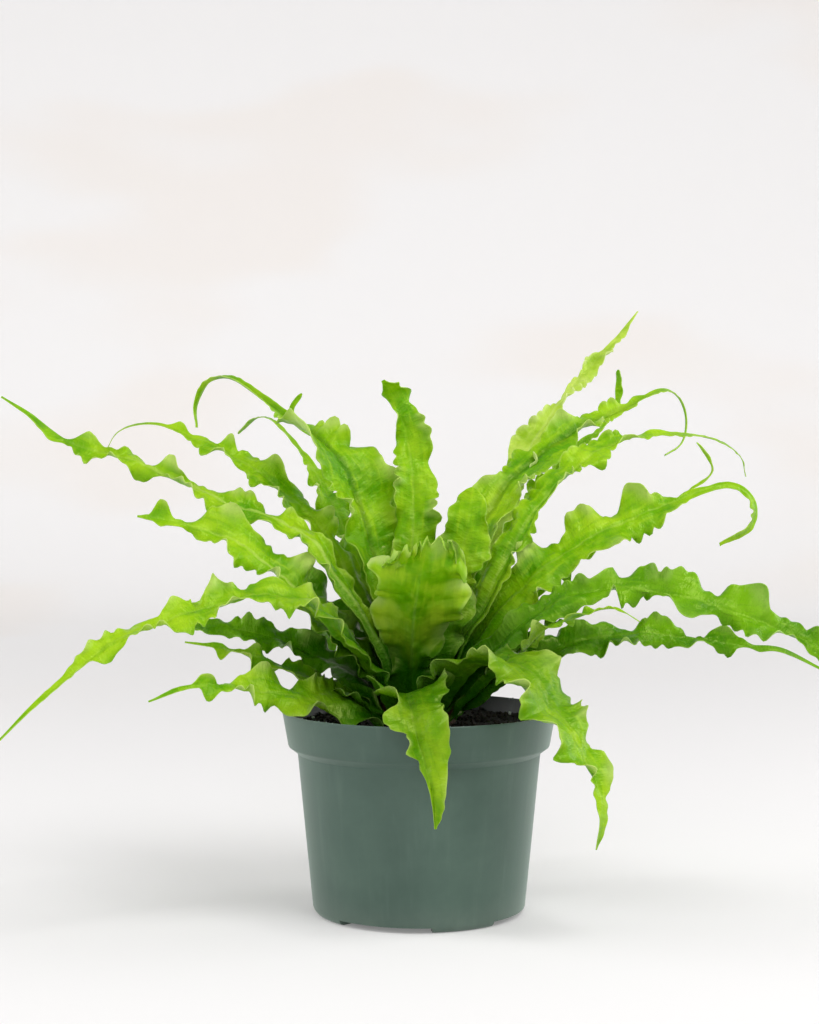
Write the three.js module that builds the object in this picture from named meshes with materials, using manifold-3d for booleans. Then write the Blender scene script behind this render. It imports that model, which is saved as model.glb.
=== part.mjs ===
// A birds nest fern in its plastic nursery pot, in millimetres with +Z up.
// The origin is the middle of the pot's base. The photo's camera looks along +Y, with +X to its right.

import * as THREE from "three";
import { mergeVertices } from "three/addons/utils/BufferGeometryUtils.js";
import Module from "manifold-3d";

const wasm = await Module();
wasm.setup();

// Pot
const potHeight = 114;
const rimRadius = 77.5;
const rimFootRadius = 74;
const rimDepth = 20;
const rimSlope = 3.5;
const bodyRadius = 68.7;
const baseRadius = 60;
const wall = 1.3;
const potSides = 48;

// Drain notches around the base, with a foot between each two
const notchCount = 4;
const notchAngle = 54;
const footTurn = -101;
const notchRise = 3;
const notchInner = 38;
const drainWidth = 9;
const drainLength = 11;

// Soil and crown
const gap = 0.3;
const soilTop = 106.5;
const soilSwell = 2.5;
const crownRadius = 21;
const crownTop = 119;
const crownFoot = 92;

// Fronds
const bladeThickness = 0.8;
const stipeHalf = 1.7;
const stipeThickness = 2.4;
const tipHalf = 0.7;
const rowSpacing = 8;
const socketRows = 2;

const leafGreen = "#7ab305";
const paleGreen = "#a4c840";
const deepGreen = "#5a9a08";

// Each frond has its direction seen from above in degrees, where 90 is away from the camera, its root in
// the crown as [x, y, z], and its midrib as [out, aside, up] from the pot's axis and base. half is the
// widest half width. shape says at which shares of the length the blade opens, is full, narrows and ends,
// and tail is the half width beyond that. round is the length of the rounded tip. roll turns the blade
// about its midrib, from the base to the tip, and cup folds both halves up, in degrees. ruffle is the
// height of the margin's waves, wave their length, and seed shifts them. edges gives the peaks and notches
// of each margin that the photo shows, from the base to the tip, as [share of the length, width].
const fronds = {
  frond_left_1: {
    turn: 138, root: [-6, 3, 110], half: 22, shape: [0.04, 0.34, 0.46, 0.68], roll: [0, -10],
    ruffle: 4.5, seed: 1, tail: 3, cup: 24,
    edges: {left: [[0.36, 22], [0.39, 24], [0.42, 28], [0.45, 23], [0.49, 29], [0.53, 32], [0.6, 27],
        [0.64, 14], [0.68, 7], [0.75, 3.6], [0.9, 3.4], [1, 1.2]],
      right: [[0.43, 27], [0.46, 23], [0.49, 29], [0.52, 19], [0.55, 14], [0.58, 9], [0.61, 10],
        [0.64, 6], [0.68, 4], [0.75, 3.2], [0.9, 3.4], [1, 1.2]]},
    midrib: [[28, -3, 170], [44, -3, 212], [56, -2, 242], [70, 1, 262], [94, 0, 274], [122, 0, 289],
      [154, 0, 305], [176, 0, 304], [188, 0, 290], [187, 0, 276]],
  },
  frond_left_2: {
    turn: 173, root: [-10, -1, 110], half: 11.5, shape: [0.03, 0.42, 0.6, 1.0], roll: [-10, -45],
    ruffle: 4.5, seed: 2,
    edges: {left: [[0.57, 9.5], [0.62, 4.5], [0.66, 1.5], [0.69, 13], [0.73, 7], [0.765, 4.5],
        [0.79, 12], [0.85, 1.5], [0.88, 6.5], [0.95, 1.5], [1, 0.6]],
      right: [[0.46, 9], [0.5, 10], [0.53, 7.5], [0.56, 9], [0.6, 5.5], [0.66, 14], [0.685, 2],
        [0.73, 9], [0.77, 2], [0.82, 9.5], [0.86, 2], [0.93, 1.5], [1, 0.6]]},
    midrib: [[23, 2, 150], [44, 4, 183], [61, 3, 208], [80, 2, 220], [109, 0, 230], [138, 0, 243],
      [168, 0, 256], [191, 0, 261], [210, 0, 269], [228, 0, 282], [244, 0, 292]],
  },
  frond_left_3: {
    turn: 150, root: [-10, 4, 110], half: 11, shape: [0.03, 0.3, 0.46, 0.85], roll: [-5, -40], ruffle: 4,
    seed: 3, tail: 1.2,
    edges: {left: [[0.48, 12.5], [0.52, 6.5], [0.57, 11.5], [0.6, 4], [0.65, 6.5], [0.67, 4],
        [0.695, 12], [0.74, 5], [0.79, 1.5], [0.9, 1.2], [1, 0.6]],
      right: [[0.38, 6], [0.42, 9.5], [0.45, 7], [0.5, 13], [0.525, 8.5], [0.57, 14.5], [0.6, 10.5],
        [0.63, 13.5], [0.66, 5], [0.68, 9], [0.7, 1.5], [0.74, 4.5], [0.76, 1.5], [0.8, 5.5],
        [0.83, 1.3], [1, 0.6]]},
    midrib: [[24, 0, 149], [44, -2, 180], [62, -4, 209], [86, -3, 231], [110, 0, 248], [136, 0, 262],
      [160, 0, 270], [182, 0, 277], [202, 0, 277], [216, 0, 272], [224, 0, 262]],
  },
  frond_left_4: {
    turn: 187, root: [-13, -3, 109], half: 16, shape: [0.03, 0.42, 0.6, 1.0], roll: [-15, -60],
    ruffle: 5, seed: 4,
    edges: {left: [[0.59, 11], [0.61, 7.5], [0.68, 15], [0.74, 8], [0.8, 11], [0.84, 3], [0.87, 2.5],
        [0.93, 5.5], [0.96, 1.5], [1, 0.6]],
      right: [[0.3, 15], [0.36, 13], [0.42, 18], [0.48, 14], [0.52, 18], [0.57, 14], [0.62, 17],
        [0.68, 13], [0.74, 17], [0.8, 16], [0.85, 3], [0.89, 2], [0.94, 11], [0.97, 2], [1, 0.6]]},
    midrib: [[22, 0, 131], [43, 1, 154], [65, 3, 177], [87, 3, 198], [109, 0, 212], [134, 0, 220],
      [158, 0, 224]],
  },
  frond_left_5: {
    turn: 209, root: [-11, -9, 108], half: 10, shape: [0.02, 0.25, 0.5, 1.0], roll: [-12, -40],
    ruffle: 4, seed: 5,
    edges: {left: [[0.37, 20], [0.42, 8], [0.455, 5], [0.5, 12], [0.56, 10.5], [0.6, 12.5], [0.635, 4.5],
        [0.67, 3], [0.73, 8], [0.77, 10.5], [0.79, 1.2], [1, 0.6]],
      right: [[0.43, 15], [0.455, 8.5], [0.5, 12.5], [0.53, 8], [0.54, 12.5], [0.55, 8], [0.585, 10.5],
        [0.625, 4.5], [0.66, 10], [0.7, 6], [0.78, 4.5], [0.86, 2.5], [1, 0.6]]},
    midrib: [[28, 3, 134], [50, 7, 155], [71, 9, 175], [94, 6, 183], [122, 0, 178], [150, 0, 171],
      [183, 0, 160], [207, 0, 143], [228, 0, 127], [245, 0, 112]],
  },
  frond_left_6: {
    turn: 176, root: [-17, 3, 106], half: 14, shape: [0.02, 0.3, 0.6, 1.0], roll: [-8, -45], ruffle: 4,
    seed: 6, color: deepGreen,
    edges: {left: [[0.5, 11], [0.57, 14], [0.62, 9], [0.67, 12.5], [0.71, 9], [0.74, 13], [0.78, 6],
        [0.83, 5], [0.92, 10], [0.98, 7], [1, 2]],
      right: [[0.42, 13.5], [0.5, 8], [0.57, 13], [0.62, 9.5], [0.65, 11.5], [0.72, 6.5], [0.79, 9],
        [0.85, 7], [0.93, 3.5], [1, 1]]},
    midrib: [[32, -2, 130], [54, -4, 141], [77, -4, 151], [99, 0, 158], [116, 0, 161], [133, 0, 163]],
  },
  frond_left_7: {
    turn: 194, root: [-16, -3, 107], half: 11, shape: [0.02, 0.3, 0.5, 0.9], roll: [2, -42], ruffle: 4,
    seed: 7, cup: 5,
    edges: {left: [[0.55, 9], [0.6, 6], [0.67, 11], [0.72, 5.5], [0.79, 5.5], [0.84, 9], [0.88, 1],
        [1, 0.5]],
      right: [[0.54, 7], [0.58, 1.5], [0.64, 6.5], [0.69, 5], [0.75, 1], [0.8, 1], [0.84, 4], [0.93, 1],
        [1, 0.5]]},
    midrib: [[34, 2, 121], [58, 3, 131], [80, 2, 141], [98, 0, 148], [115, 0, 152], [133, 0, 155]],
  },
  frond_left_8: {
    turn: 212, root: [-13, -11, 107], half: 14, shape: [0.02, 0.3, 0.55, 1.0], roll: [-30, -50],
    ruffle: 4, seed: 8, cup: 5,
    edges: {left: [[0.22, 10], [0.27, 15], [0.32, 6], [0.37, 6], [0.45, 19], [0.55, 6], [0.6, 8.5],
        [0.63, 2.5], [0.72, 4.5], [0.78, 9], [0.81, 1.5], [1, 0.5]],
      right: [[0.4, 17], [0.46, 12], [0.52, 16], [0.58, 14.5], [0.64, 9.5], [0.68, 5.5], [0.73, 1],
        [0.78, 4.5], [0.84, 1], [0.88, 2], [1, 0.5]]},
    midrib: [[36, 8, 115], [62, 8, 121], [89, 5, 128], [115, 0, 133], [140, 0, 136], [167, 0, 129]],
  },
  frond_left_9: {
    turn: 122, root: [-9, 9, 110], half: 10, shape: [0.03, 0.35, 0.5, 0.7], roll: [0, 0], ruffle: 3.5,
    seed: 21, tail: 1.6,
    midrib: [[42, 0, 166], [82, 0, 212], [122, 0, 249], [153, 0, 270], [180, 0, 282], [202, 0, 282],
      [224, 0, 273]],
  },
  frond_left_10: {
    turn: 104, root: [-3, 11, 110], half: 16, shape: [0.03, 0.4, 0.5, 0.72], roll: [0, 0], ruffle: 4.5,
    seed: 22, tail: 1.6,
    midrib: [[35, -4, 178], [59, 0, 228], [80, 12, 254], [93, 30, 265], [100, 44, 272], [102, 52, 279],
      [102, 54, 287], [101, 48, 296]],
  },
  frond_centre_1: {
    turn: 90, root: [-1, 5, 112], half: 12.5, shape: [0.03, 0.35, 0.7, 1.2], roll: [0, 10], ruffle: 4,
    seed: 9, round: 9,
    edges: {left: [[0.5, 12], [0.56, 9], [0.62, 11.5], [0.7, 10], [0.76, 10], [0.81, 6], [0.85, 5],
        [0.88, 2.5], [0.91, 3], [0.95, 5], [1, 1]],
      right: [[0.5, 12.5], [0.55, 14.5], [0.58, 11.5], [0.66, 15.5], [0.73, 10.5], [0.77, 13],
        [0.85, 12], [0.9, 9.5], [0.93, 10.5], [0.97, 7], [1, 1]]},
    midrib: [[12, 4, 152], [22, 4, 195], [34, 3, 232], [44, 6, 264], [46, 13, 288], [40, 21, 302]],
  },
  frond_centre_2: {
    turn: 270, root: [-3, -7, 112], half: 29, shape: [0, 0.62, 1.2, 1.5], roll: [0, 0], ruffle: 4,
    seed: 10, cup: 16, round: 5,
    edges: {left: [[0.26, 14], [0.34, 17], [0.41, 22], [0.48, 24], [0.55, 29], [0.62, 27], [0.68, 31],
        [0.75, 27], [0.82, 29], [0.86, 25], [0.9, 26], [1, 20]],
      right: [[0.26, 20], [0.34, 19], [0.41, 23], [0.48, 22], [0.55, 25], [0.61, 22], [0.68, 24],
        [0.75, 22], [0.82, 27], [0.86, 22], [0.9, 23], [1, 16]]},
    midrib: [[17, -4, 140], [30, -3, 168], [44, 0, 190], [56, 2, 206]],
  },
  frond_centre_3: {
    turn: 270, root: [6, -1, 112], half: 15, shape: [0.03, 0.4, 0.75, 1.15], roll: [0, 0], ruffle: 3,
    seed: 11, round: 7,
    midrib: [[6, 10, 150], [5, 19, 185], [3, 27, 216], [0, 30, 240]],
  },
  frond_right_1: {
    turn: 57, root: [3, 12, 110], half: 10, shape: [0.03, 0.35, 0.6, 1.0], roll: [0, 20], ruffle: 3.5,
    seed: 12, color: paleGreen,
    edges: {left: [[0.28, 13], [0.34, 11], [0.4, 14], [0.46, 10], [0.52, 12], [0.6, 4.5], [0.65, 2.5],
        [0.7, 4], [0.75, 1], [0.8, 4], [0.86, 2.3], [0.92, 1], [1, 0.5]],
      right: [[0.36, 14], [0.42, 10], [0.46, 13], [0.5, 8], [0.55, 11], [0.61, 5], [0.66, 5], [0.71, 8],
        [0.76, 7], [0.8, 5], [0.83, 7.5], [0.87, 3], [0.92, 4], [0.96, 1.5], [1, 0.5]]},
    midrib: [[36, 4, 162], [64, 1, 200], [96, -3, 240], [133, -3, 272], [160, -2, 291], [197, 0, 312],
      [236, 0, 332], [276, 0, 357]],
  },
  frond_right_2: {
    turn: 44, root: [7, 6, 110], half: 18, shape: [0.03, 0.3, 0.55, 0.74], roll: [0, 36], ruffle: 4,
    seed: 13, tail: 2.6, cup: 20,
    edges: {left: [[0.3, 13], [0.34, 9], [0.38, 15], [0.42, 9], [0.48, 15.5], [0.51, 8.5], [0.57, 12],
        [0.6, 7], [0.635, 12], [0.65, 7], [0.68, 8], [0.72, 2.5], [0.75, 5.5], [0.77, 1.5], [1, 1.2]],
      right: [[0.4, 21], [0.47, 17.5], [0.54, 13.5], [0.58, 5], [0.6, 13], [0.68, 5.5], [0.7, 2.5],
        [0.71, 7.5], [0.745, 1.5], [0.8, 4], [0.85, 2.5], [1, 1.2]]},
    midrib: [[22, 3, 156], [50, 8, 204], [80, 9, 237], [106, 7, 256], [138, 2, 274], [181, 0, 288],
      [214, 0, 300], [233, 0, 297], [242, 0, 283], [238, 0, 267], [221, 0, 259]],
  },
  frond_right_3: {
    turn: 34, root: [12, 4, 110], half: 11, shape: [0.03, 0.3, 0.6, 0.74], roll: [5, 35], ruffle: 3.5,
    seed: 31, tail: 2.2,
    edges: {left: [[0.67, 7.5], [0.71, 4], [0.74, 4.5], [0.78, 1], [1, 0.8]],
      right: [[0.33, 8], [0.4, 5], [0.45, 6.5], [0.53, 4.5], [0.57, 11], [0.62, 5], [0.665, 1.5],
        [0.7, 4.5], [0.74, 1.5], [0.8, 5.5], [0.85, 2.5], [0.89, 5], [1, 0.8]]},
    midrib: [[20, -5, 147], [35, -12, 172], [53, -12, 200], [72, -12, 225], [95, -10, 244],
      [118, -6, 257], [142, -2, 266], [166, 0, 270], [193, 0, 272], [227, 0, 268], [247, 0, 258],
      [252, 0, 245]],
  },
  frond_right_4: {
    turn: 12, root: [12, -1, 109], half: 15.5, shape: [0.03, 0.35, 0.55, 0.72], roll: [22, 62],
    ruffle: 4.5, seed: 15, tail: 3.2,
    edges: {left: [[0.3, 17], [0.34, 12], [0.38, 19], [0.4, 17], [0.435, 11], [0.485, 20], [0.515, 17],
        [0.535, 9.5], [0.56, 10], [0.6, 17], [0.64, 7.5], [0.665, 8.5], [0.685, 2], [0.72, 3],
        [0.76, 1.5], [0.9, 2], [1, 1.2]],
      right: [[0.35, 18], [0.38, 13], [0.46, 14], [0.53, 21], [0.56, 12.5], [0.61, 12], [0.66, 7.5],
        [0.72, 3], [0.8, 2.5], [0.86, 3], [0.89, 7], [0.94, 5], [1, 1.2]]},
    midrib: [[24, 0, 135], [46, 0, 166], [72, 1, 191], [96, 1, 207], [120, 0, 219], [144, 0, 228],
      [168, 0, 237], [184, 0, 241], [196, 0, 237], [202, 0, 227], [198, 0, 214], [180, 0, 206]],
  },
  frond_right_5: {
    turn: 350, root: [12, -6, 108], half: 17, shape: [0.02, 0.6, 0.75, 1.08], roll: [26, 60],
    ruffle: 4.5, seed: 16, color: deepGreen,
    edges: {left: [[0.23, 9], [0.28, 12], [0.33, 14], [0.38, 11.5], [0.44, 6], [0.48, 13.5], [0.495, 11],
        [0.53, 16], [0.565, 9], [0.62, 18], [0.68, 9], [0.72, 17.5], [0.77, 15], [0.8, 9], [0.85, 13.5],
        [0.88, 9.5], [0.92, 9.5], [1, 2]],
      right: [[0.3, 14], [0.35, 12], [0.41, 8.5], [0.45, 11.5], [0.475, 8.5], [0.5, 12.5], [0.545, 2],
        [0.58, 4], [0.64, 18], [0.7, 5], [0.73, 5.5], [0.785, 14.5], [0.86, 2.5], [0.91, 7], [1, 1]]},
    midrib: [[28, -2, 134], [46, -3, 150], [62, -5, 165], [84, -5, 178], [112, 0, 184], [140, 0, 181],
      [168, 0, 174], [196, 0, 164], [220, 0, 154], [241, 0, 140]],
  },
  frond_right_6: {
    turn: 3, root: [17, -1, 106], half: 12, shape: [0.02, 0.3, 0.6, 0.86], roll: [30, 60], ruffle: 4,
    seed: 17, tail: 1.6, color: deepGreen,
    edges: {left: [[0.35, 11], [0.4, 11.5], [0.43, 8], [0.465, 13], [0.52, 4], [0.58, 10], [0.61, 9],
        [0.67, 1.5], [0.69, 2], [0.74, 7.5], [0.79, 4], [0.83, 1], [1, 0.8]],
      right: [[0.33, 10.5], [0.36, 12.5], [0.38, 9.5], [0.42, 10.5], [0.46, 9], [0.51, 13.5],
        [0.55, 8.5], [0.61, 6], [0.655, 9], [0.68, 5], [0.72, 3.5], [0.76, 6.5], [0.8, 1], [0.84, 4],
        [0.88, 2.5], [1, 0.8]]},
    midrib: [[38, 0, 131], [62, 0, 142], [86, 0, 151], [115, 0, 156], [138, 0, 156], [161, 0, 153],
      [188, 0, 149], [208, 0, 147], [230, 0, 136]],
  },
  frond_right_7: {
    turn: 315, root: [10, -13, 107], half: 16, shape: [0, 0.22, 0.5, 1.0], roll: [10, -10], ruffle: 4,
    seed: 18,
    edges: {left: [[0.34, 19], [0.38, 17], [0.44, 20], [0.48, 16], [0.56, 20], [0.59, 14], [0.63, 16],
        [0.67, 13], [0.71, 9], [0.73, 14], [0.81, 7.5], [0.87, 6], [0.95, 2], [1, 0.5]],
      right: [[0.4, 17], [0.46, 26], [0.49, 19], [0.53, 25], [0.58, 20], [0.62, 26], [0.64, 18],
        [0.68, 22], [0.73, 27], [0.755, 9], [0.78, 4], [0.82, 5], [0.87, 1.2], [1, 0.6]]},
    midrib: [[34, -2, 134], [54, -1, 145], [72, 0, 146], [88, 0, 138], [100, 0, 124], [115, 0, 110],
      [129, 0, 88], [134, 0, 70], [130, 0, 52]],
  },
  frond_right_8: {
    turn: 341, root: [15, -9, 107], half: 6, shape: [0.05, 0.4, 0.6, 1.0], roll: [0, 0], ruffle: 2.5,
    seed: 19,
    midrib: [[36, 3, 128], [54, -1, 142], [70, -4, 158], [88, -2, 168], [105, 0, 173], [116, 0, 173],
      [127, 0, 167]],
  },
  frond_right_9: {
    turn: 23, root: [16, 5, 108], half: 7, shape: [0.03, 0.35, 0.5, 0.75], roll: [0, 0], ruffle: 2.5,
    seed: 23, tail: 1.6,
    midrib: [[37, 3, 143], [56, 4, 163], [103, 4, 196], [142, 3, 217], [176, 1, 236], [192, 0, 247],
      [191, 0, 256], [182, 0, 266]],
  },
  frond_right_10: {
    turn: 51, root: [10, 11, 109], half: 7, shape: [0.03, 0.35, 0.6, 0.85], roll: [0, 0], ruffle: 2.5,
    seed: 24, tail: 2.4,
    midrib: [[34, -1, 154], [98, 3, 220], [156, 2, 258], [190, 0, 278], [206, 0, 292], [206, 0, 314]],
  },
  frond_front_1: {
    turn: 270, root: [-3, -16, 107], half: 18, shape: [0.05, 0.35, 0.5, 1.0], roll: [0, 0], ruffle: 3.5,
    seed: 20, cup: 25,
    edges: {left: [[0.2, 22], [0.27, 26], [0.34, 22], [0.42, 25], [0.5, 20], [0.6, 19], [0.66, 19],
        [0.72, 16], [0.8, 10], [0.9, 6], [0.95, 4], [1, 0.8]],
      right: [[0.2, 19], [0.27, 22], [0.33, 17], [0.4, 20], [0.45, 13], [0.5, 13], [0.56, 18], [0.6, 16],
        [0.625, 5], [0.7, 8], [0.73, 4], [0.78, 3], [0.85, 1.5], [1, 0.6]]},
    midrib: [[36, -6, 121], [56, -6, 127], [76, -5, 124], [90, -2, 112], [97, 3, 97], [100, 7, 80],
      [98, 8, 64]],
  },
  frond_back_1: {
    turn: 76, root: [5, 17, 107], half: 15, shape: [0.02, 0.3, 0.55, 1.0], roll: [0, 0], ruffle: 4,
    seed: 25, color: deepGreen,
    midrib: [[36, 0, 136], [66, 0, 156], [102, 0, 152], [132, 0, 126], [150, 0, 92], [154, 0, 62]],
  },
  frond_back_2: {
    turn: 97, root: [-2, 17, 107], half: 15, shape: [0.02, 0.3, 0.55, 1.0], roll: [0, 0], ruffle: 4,
    seed: 26, color: deepGreen,
    midrib: [[36, 0, 128], [62, 0, 138], [96, 0, 132], [120, 0, 108], [134, 0, 80]],
  },
  frond_back_3: {
    turn: 122, root: [-9, 15, 107], half: 15, shape: [0.02, 0.3, 0.55, 1.0], roll: [0, 0], ruffle: 4,
    seed: 27, color: deepGreen,
    midrib: [[36, 0, 138], [68, 0, 156], [100, 0, 150], [128, 0, 126], [146, 0, 94]],
  },
  frond_back_4: {
    turn: 50, root: [12, 13, 107], half: 14, shape: [0.02, 0.3, 0.55, 1.0], roll: [0, 0], ruffle: 4,
    seed: 28, color: deepGreen,
    midrib: [[36, 0, 127], [62, 0, 139], [88, 0, 132], [110, 0, 108], [122, 0, 80]],
  },
  frond_back_5: {
    turn: 156, root: [-15, 10, 107], half: 13, shape: [0.05, 0.5, 0.65, 1.0], roll: [-5, -30], ruffle: 4,
    seed: 29, color: deepGreen,
    midrib: [[30, -1, 141], [54, -1, 166], [78, 0, 186], [102, 0, 200]],
  },
};

const smooth = (from, to, x) => {
  const t = Math.min(1, Math.max(0, (x - from) / (to - from)));
  return t * t * (3 - 2 * t);
};
const mix = (a, b, t) => a + (b - a) * t;

// The half width at a share of the length: a narrow stipe, the blade, and a thin tail or a round end.
function halfWidth(frond, t, length) {
  const [opens, full, narrows, ends] = frond.shape;
  const tail = frond.tail ?? tipHalf;
  const blade = smooth(opens, full, t) * (1 - smooth(narrows, ends, t));
  const base = mix(stipeHalf, tail, smooth(full, narrows, t));
  const tip = Math.max(0, t - 1 + (frond.round ?? 5) / length) * length / (frond.round ?? 5);
  return Math.max(tipHalf, mix(base, frond.half, blade) * Math.sqrt(Math.max(0, 1 - tip * tip)));
}

// Where a frond lists the peaks and notches of a margin, each as its share of the length and the width
// there, they take over from the half width. Also gives how far they have, how many have passed, and how
// far along the plain waves of the margin run.
function marginAt(stops, t, half) {
  if (!stops) return [half, 0, 0, t];
  const first = stops[0][0];
  const k = Math.min(Math.max(stops.findLastIndex(([at]) => at < t), 0), stops.length - 2);
  const [[start, from], [end, to]] = stops.slice(k, k + 2);
  const share = smooth(start, end, t);
  const traced = smooth(first - 0.07, first, t);
  return [mix(half, mix(from, to, share), traced), traced, t < first ? 0 : k + share, Math.min(t, first)];
}

// A point of the blade: t runs from the base to the tip, s from the right margin, -1, to the left, 1.
function bladePoint(frond, curve, length, t, s) {
  const centre = curve.getPointAt(t);
  const along = curve.getTangentAt(t);
  const side = new THREE.Vector3(0, 1, 0).addScaledVector(along, -along.y).normalize();
  side.applyAxisAngle(along, THREE.MathUtils.degToRad(mix(frond.roll[0], frond.roll[1], t)));
  const up = new THREE.Vector3().crossVectors(along, side);
  const plain = halfWidth(frond, t, length);
  const [half, traced, passed, waved] = marginAt(frond.edges?.[s < 0 ? "right" : "left"], t, plain);
  const open = smooth(0, 1, plain / frond.half + 0.35 * traced * smooth(1, 9, half));
  const turns = (length * waved) / (frond.wave ?? 24) + 0.35 * Math.sin(7 * waved + frond.seed);
  const phase = 2 * Math.PI * (turns + 0.37 * frond.seed + (s < 0 ? 0.31 : 0) + passed / 4);
  const cup = THREE.MathUtils.degToRad(frond.cup ?? 10) * smooth(0, 0.2, t);
  const reach = half * s * (1 + 0.16 * (1 - traced) * open * Math.sin(phase + 1.4));
  const lift = frond.ruffle * open * Math.pow(Math.abs(s), 2.2) * Math.sin(phase);
  return centre
    .addScaledVector(side, reach * Math.cos(cup))
    .addScaledVector(up, Math.abs(reach) * Math.sin(cup) + lift);
}

// A closed solid from a grid of points: the grid's two faces, moved apart along its normals, and the
// strips between their borders. thickness is a function of the row and the column.
function sheetSolid(points, thickness) {
  const rows = points.length;
  const columns = points[0].length;
  const flat = new THREE.BufferGeometry().setFromPoints(points.flat());
  const faces = [];
  for (let i = 0; i < rows - 1; i++)
    for (let j = 0; j < columns - 1; j++) {
      const a = i * columns + j;
      const b = a + columns;
      if (j < (columns - 1) / 2) faces.push([a, b, b + 1], [a, b + 1, a + 1]);
      else faces.push([a, b, a + 1], [b, b + 1, a + 1]);
    }
  flat.setIndex(faces.flat());
  flat.computeVertexNormals();
  const normals = flat.getAttribute("normal");
  const move = (point, k, sign) =>
    new THREE.Vector3().fromBufferAttribute(normals, k).multiplyScalar(
      sign * 0.5 * thickness(Math.floor(k / columns), k % columns),
    ).add(point);
  const top = points.flat().map((p, k) => move(p, k, 1));
  const bottom = points.flat().map((p, k) => move(p, k, -1));
  const count = top.length;
  const border = [];
  for (let j = 0; j < columns - 1; j++) border.push([j, j + 1]);
  for (let i = 0; i < rows - 1; i++) border.push([(i + 1) * columns - 1, (i + 2) * columns - 1]);
  for (let j = columns - 1; j > 0; j--) border.push([(rows - 1) * columns + j, (rows - 1) * columns + j - 1]);
  for (let i = rows - 1; i > 0; i--) border.push([i * columns, (i - 1) * columns]);
  const index = faces.flat();
  for (const [a, b, c] of faces) index.push(a + count, c + count, b + count);
  for (const [a, b] of border) index.push(a, b, b + count, a, b + count, a + count);
  return new THREE.BufferGeometry().setFromPoints([...top, ...bottom]).setIndex(index);
}

// A frond turned to its place. With a row limit it is only the first rows, and grow makes it that much
// larger on every side, for its socket in the crown.
function frondSolid(frond, rowLimit = Infinity, grow = 0) {
  const turn = THREE.MathUtils.degToRad(frond.turn);
  const root = new THREE.Vector3(...frond.root).applyAxisAngle(new THREE.Vector3(0, 0, 1), -turn);
  const midrib = frond.midrib.map((p) => new THREE.Vector3(...p));
  const curve = new THREE.CatmullRomCurve3([root, ...midrib], false, "catmullrom", 0.5);
  const length = curve.getLength();
  const rowCount = Math.ceil(length / rowSpacing);
  const shares = Array.from({ length: Math.min(rowLimit, rowCount) + 1 }, (_, i) => i / rowCount);
  const points = shares.map((t) => [-1, 0, 1].map((s) => bladePoint(frond, curve, length, t, s)));
  if (grow) {
    const start = curve.getTangentAt(0).multiplyScalar(-grow);
    points[0].forEach((p) => p.add(start));
    for (const row of points) {
      const out = row[2].clone().sub(row[0]).normalize().multiplyScalar(grow);
      row[0].sub(out);
      row[2].add(out);
    }
  }
  const thickness = (i, j) =>
    mix(stipeThickness, bladeThickness, j === 1 ? smooth(0, 0.7, shares[i]) : smooth(0, 0.12, shares[i]))
    + 2 * grow;
  const geometry = sheetSolid(points, thickness);
  geometry.rotateZ(turn);
  return geometry;
}

function toManifold(geometry) {
  const bare = geometry.clone();
  bare.deleteAttribute("normal");
  bare.deleteAttribute("uv");
  const merged = mergeVertices(bare, 1e-3);
  return new wasm.Manifold(new wasm.Mesh({
    numProp: 3,
    vertProperties: merged.getAttribute("position").array,
    triVerts: new Uint32Array(merged.getIndex().array),
  }));
}

function fromManifold(solid) {
  const mesh = solid.getMesh();
  const geometry = new THREE.BufferGeometry();
  geometry.setAttribute("position", new THREE.BufferAttribute(mesh.vertProperties, 3));
  geometry.setIndex(new THREE.BufferAttribute(mesh.triVerts, 1));
  geometry.computeVertexNormals();
  return geometry;
}

// A turned solid about +Z from [radius, height] points that start and end on the axis.
function lathe(profile, sides) {
  const points = profile.map(([r, z]) => new THREE.Vector2(r, z));
  const geometry = new THREE.LatheGeometry(points, sides);
  geometry.rotateX(Math.PI / 2);
  return geometry;
}

// A sector of a ring around the axis, from one height to another.
function ringSector(inner, outer, middle, angle, low, high) {
  const from = THREE.MathUtils.degToRad(middle - angle / 2);
  const to = THREE.MathUtils.degToRad(middle + angle / 2);
  const shape = new THREE.Shape();
  shape.absarc(0, 0, outer, from, to, false);
  shape.absarc(0, 0, inner, to, from, true);
  const depth = high - low;
  const geometry = new THREE.ExtrudeGeometry(shape, { depth, bevelEnabled: false, curveSegments: 8 });
  geometry.translate(0, 0, low);
  return geometry;
}

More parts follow.
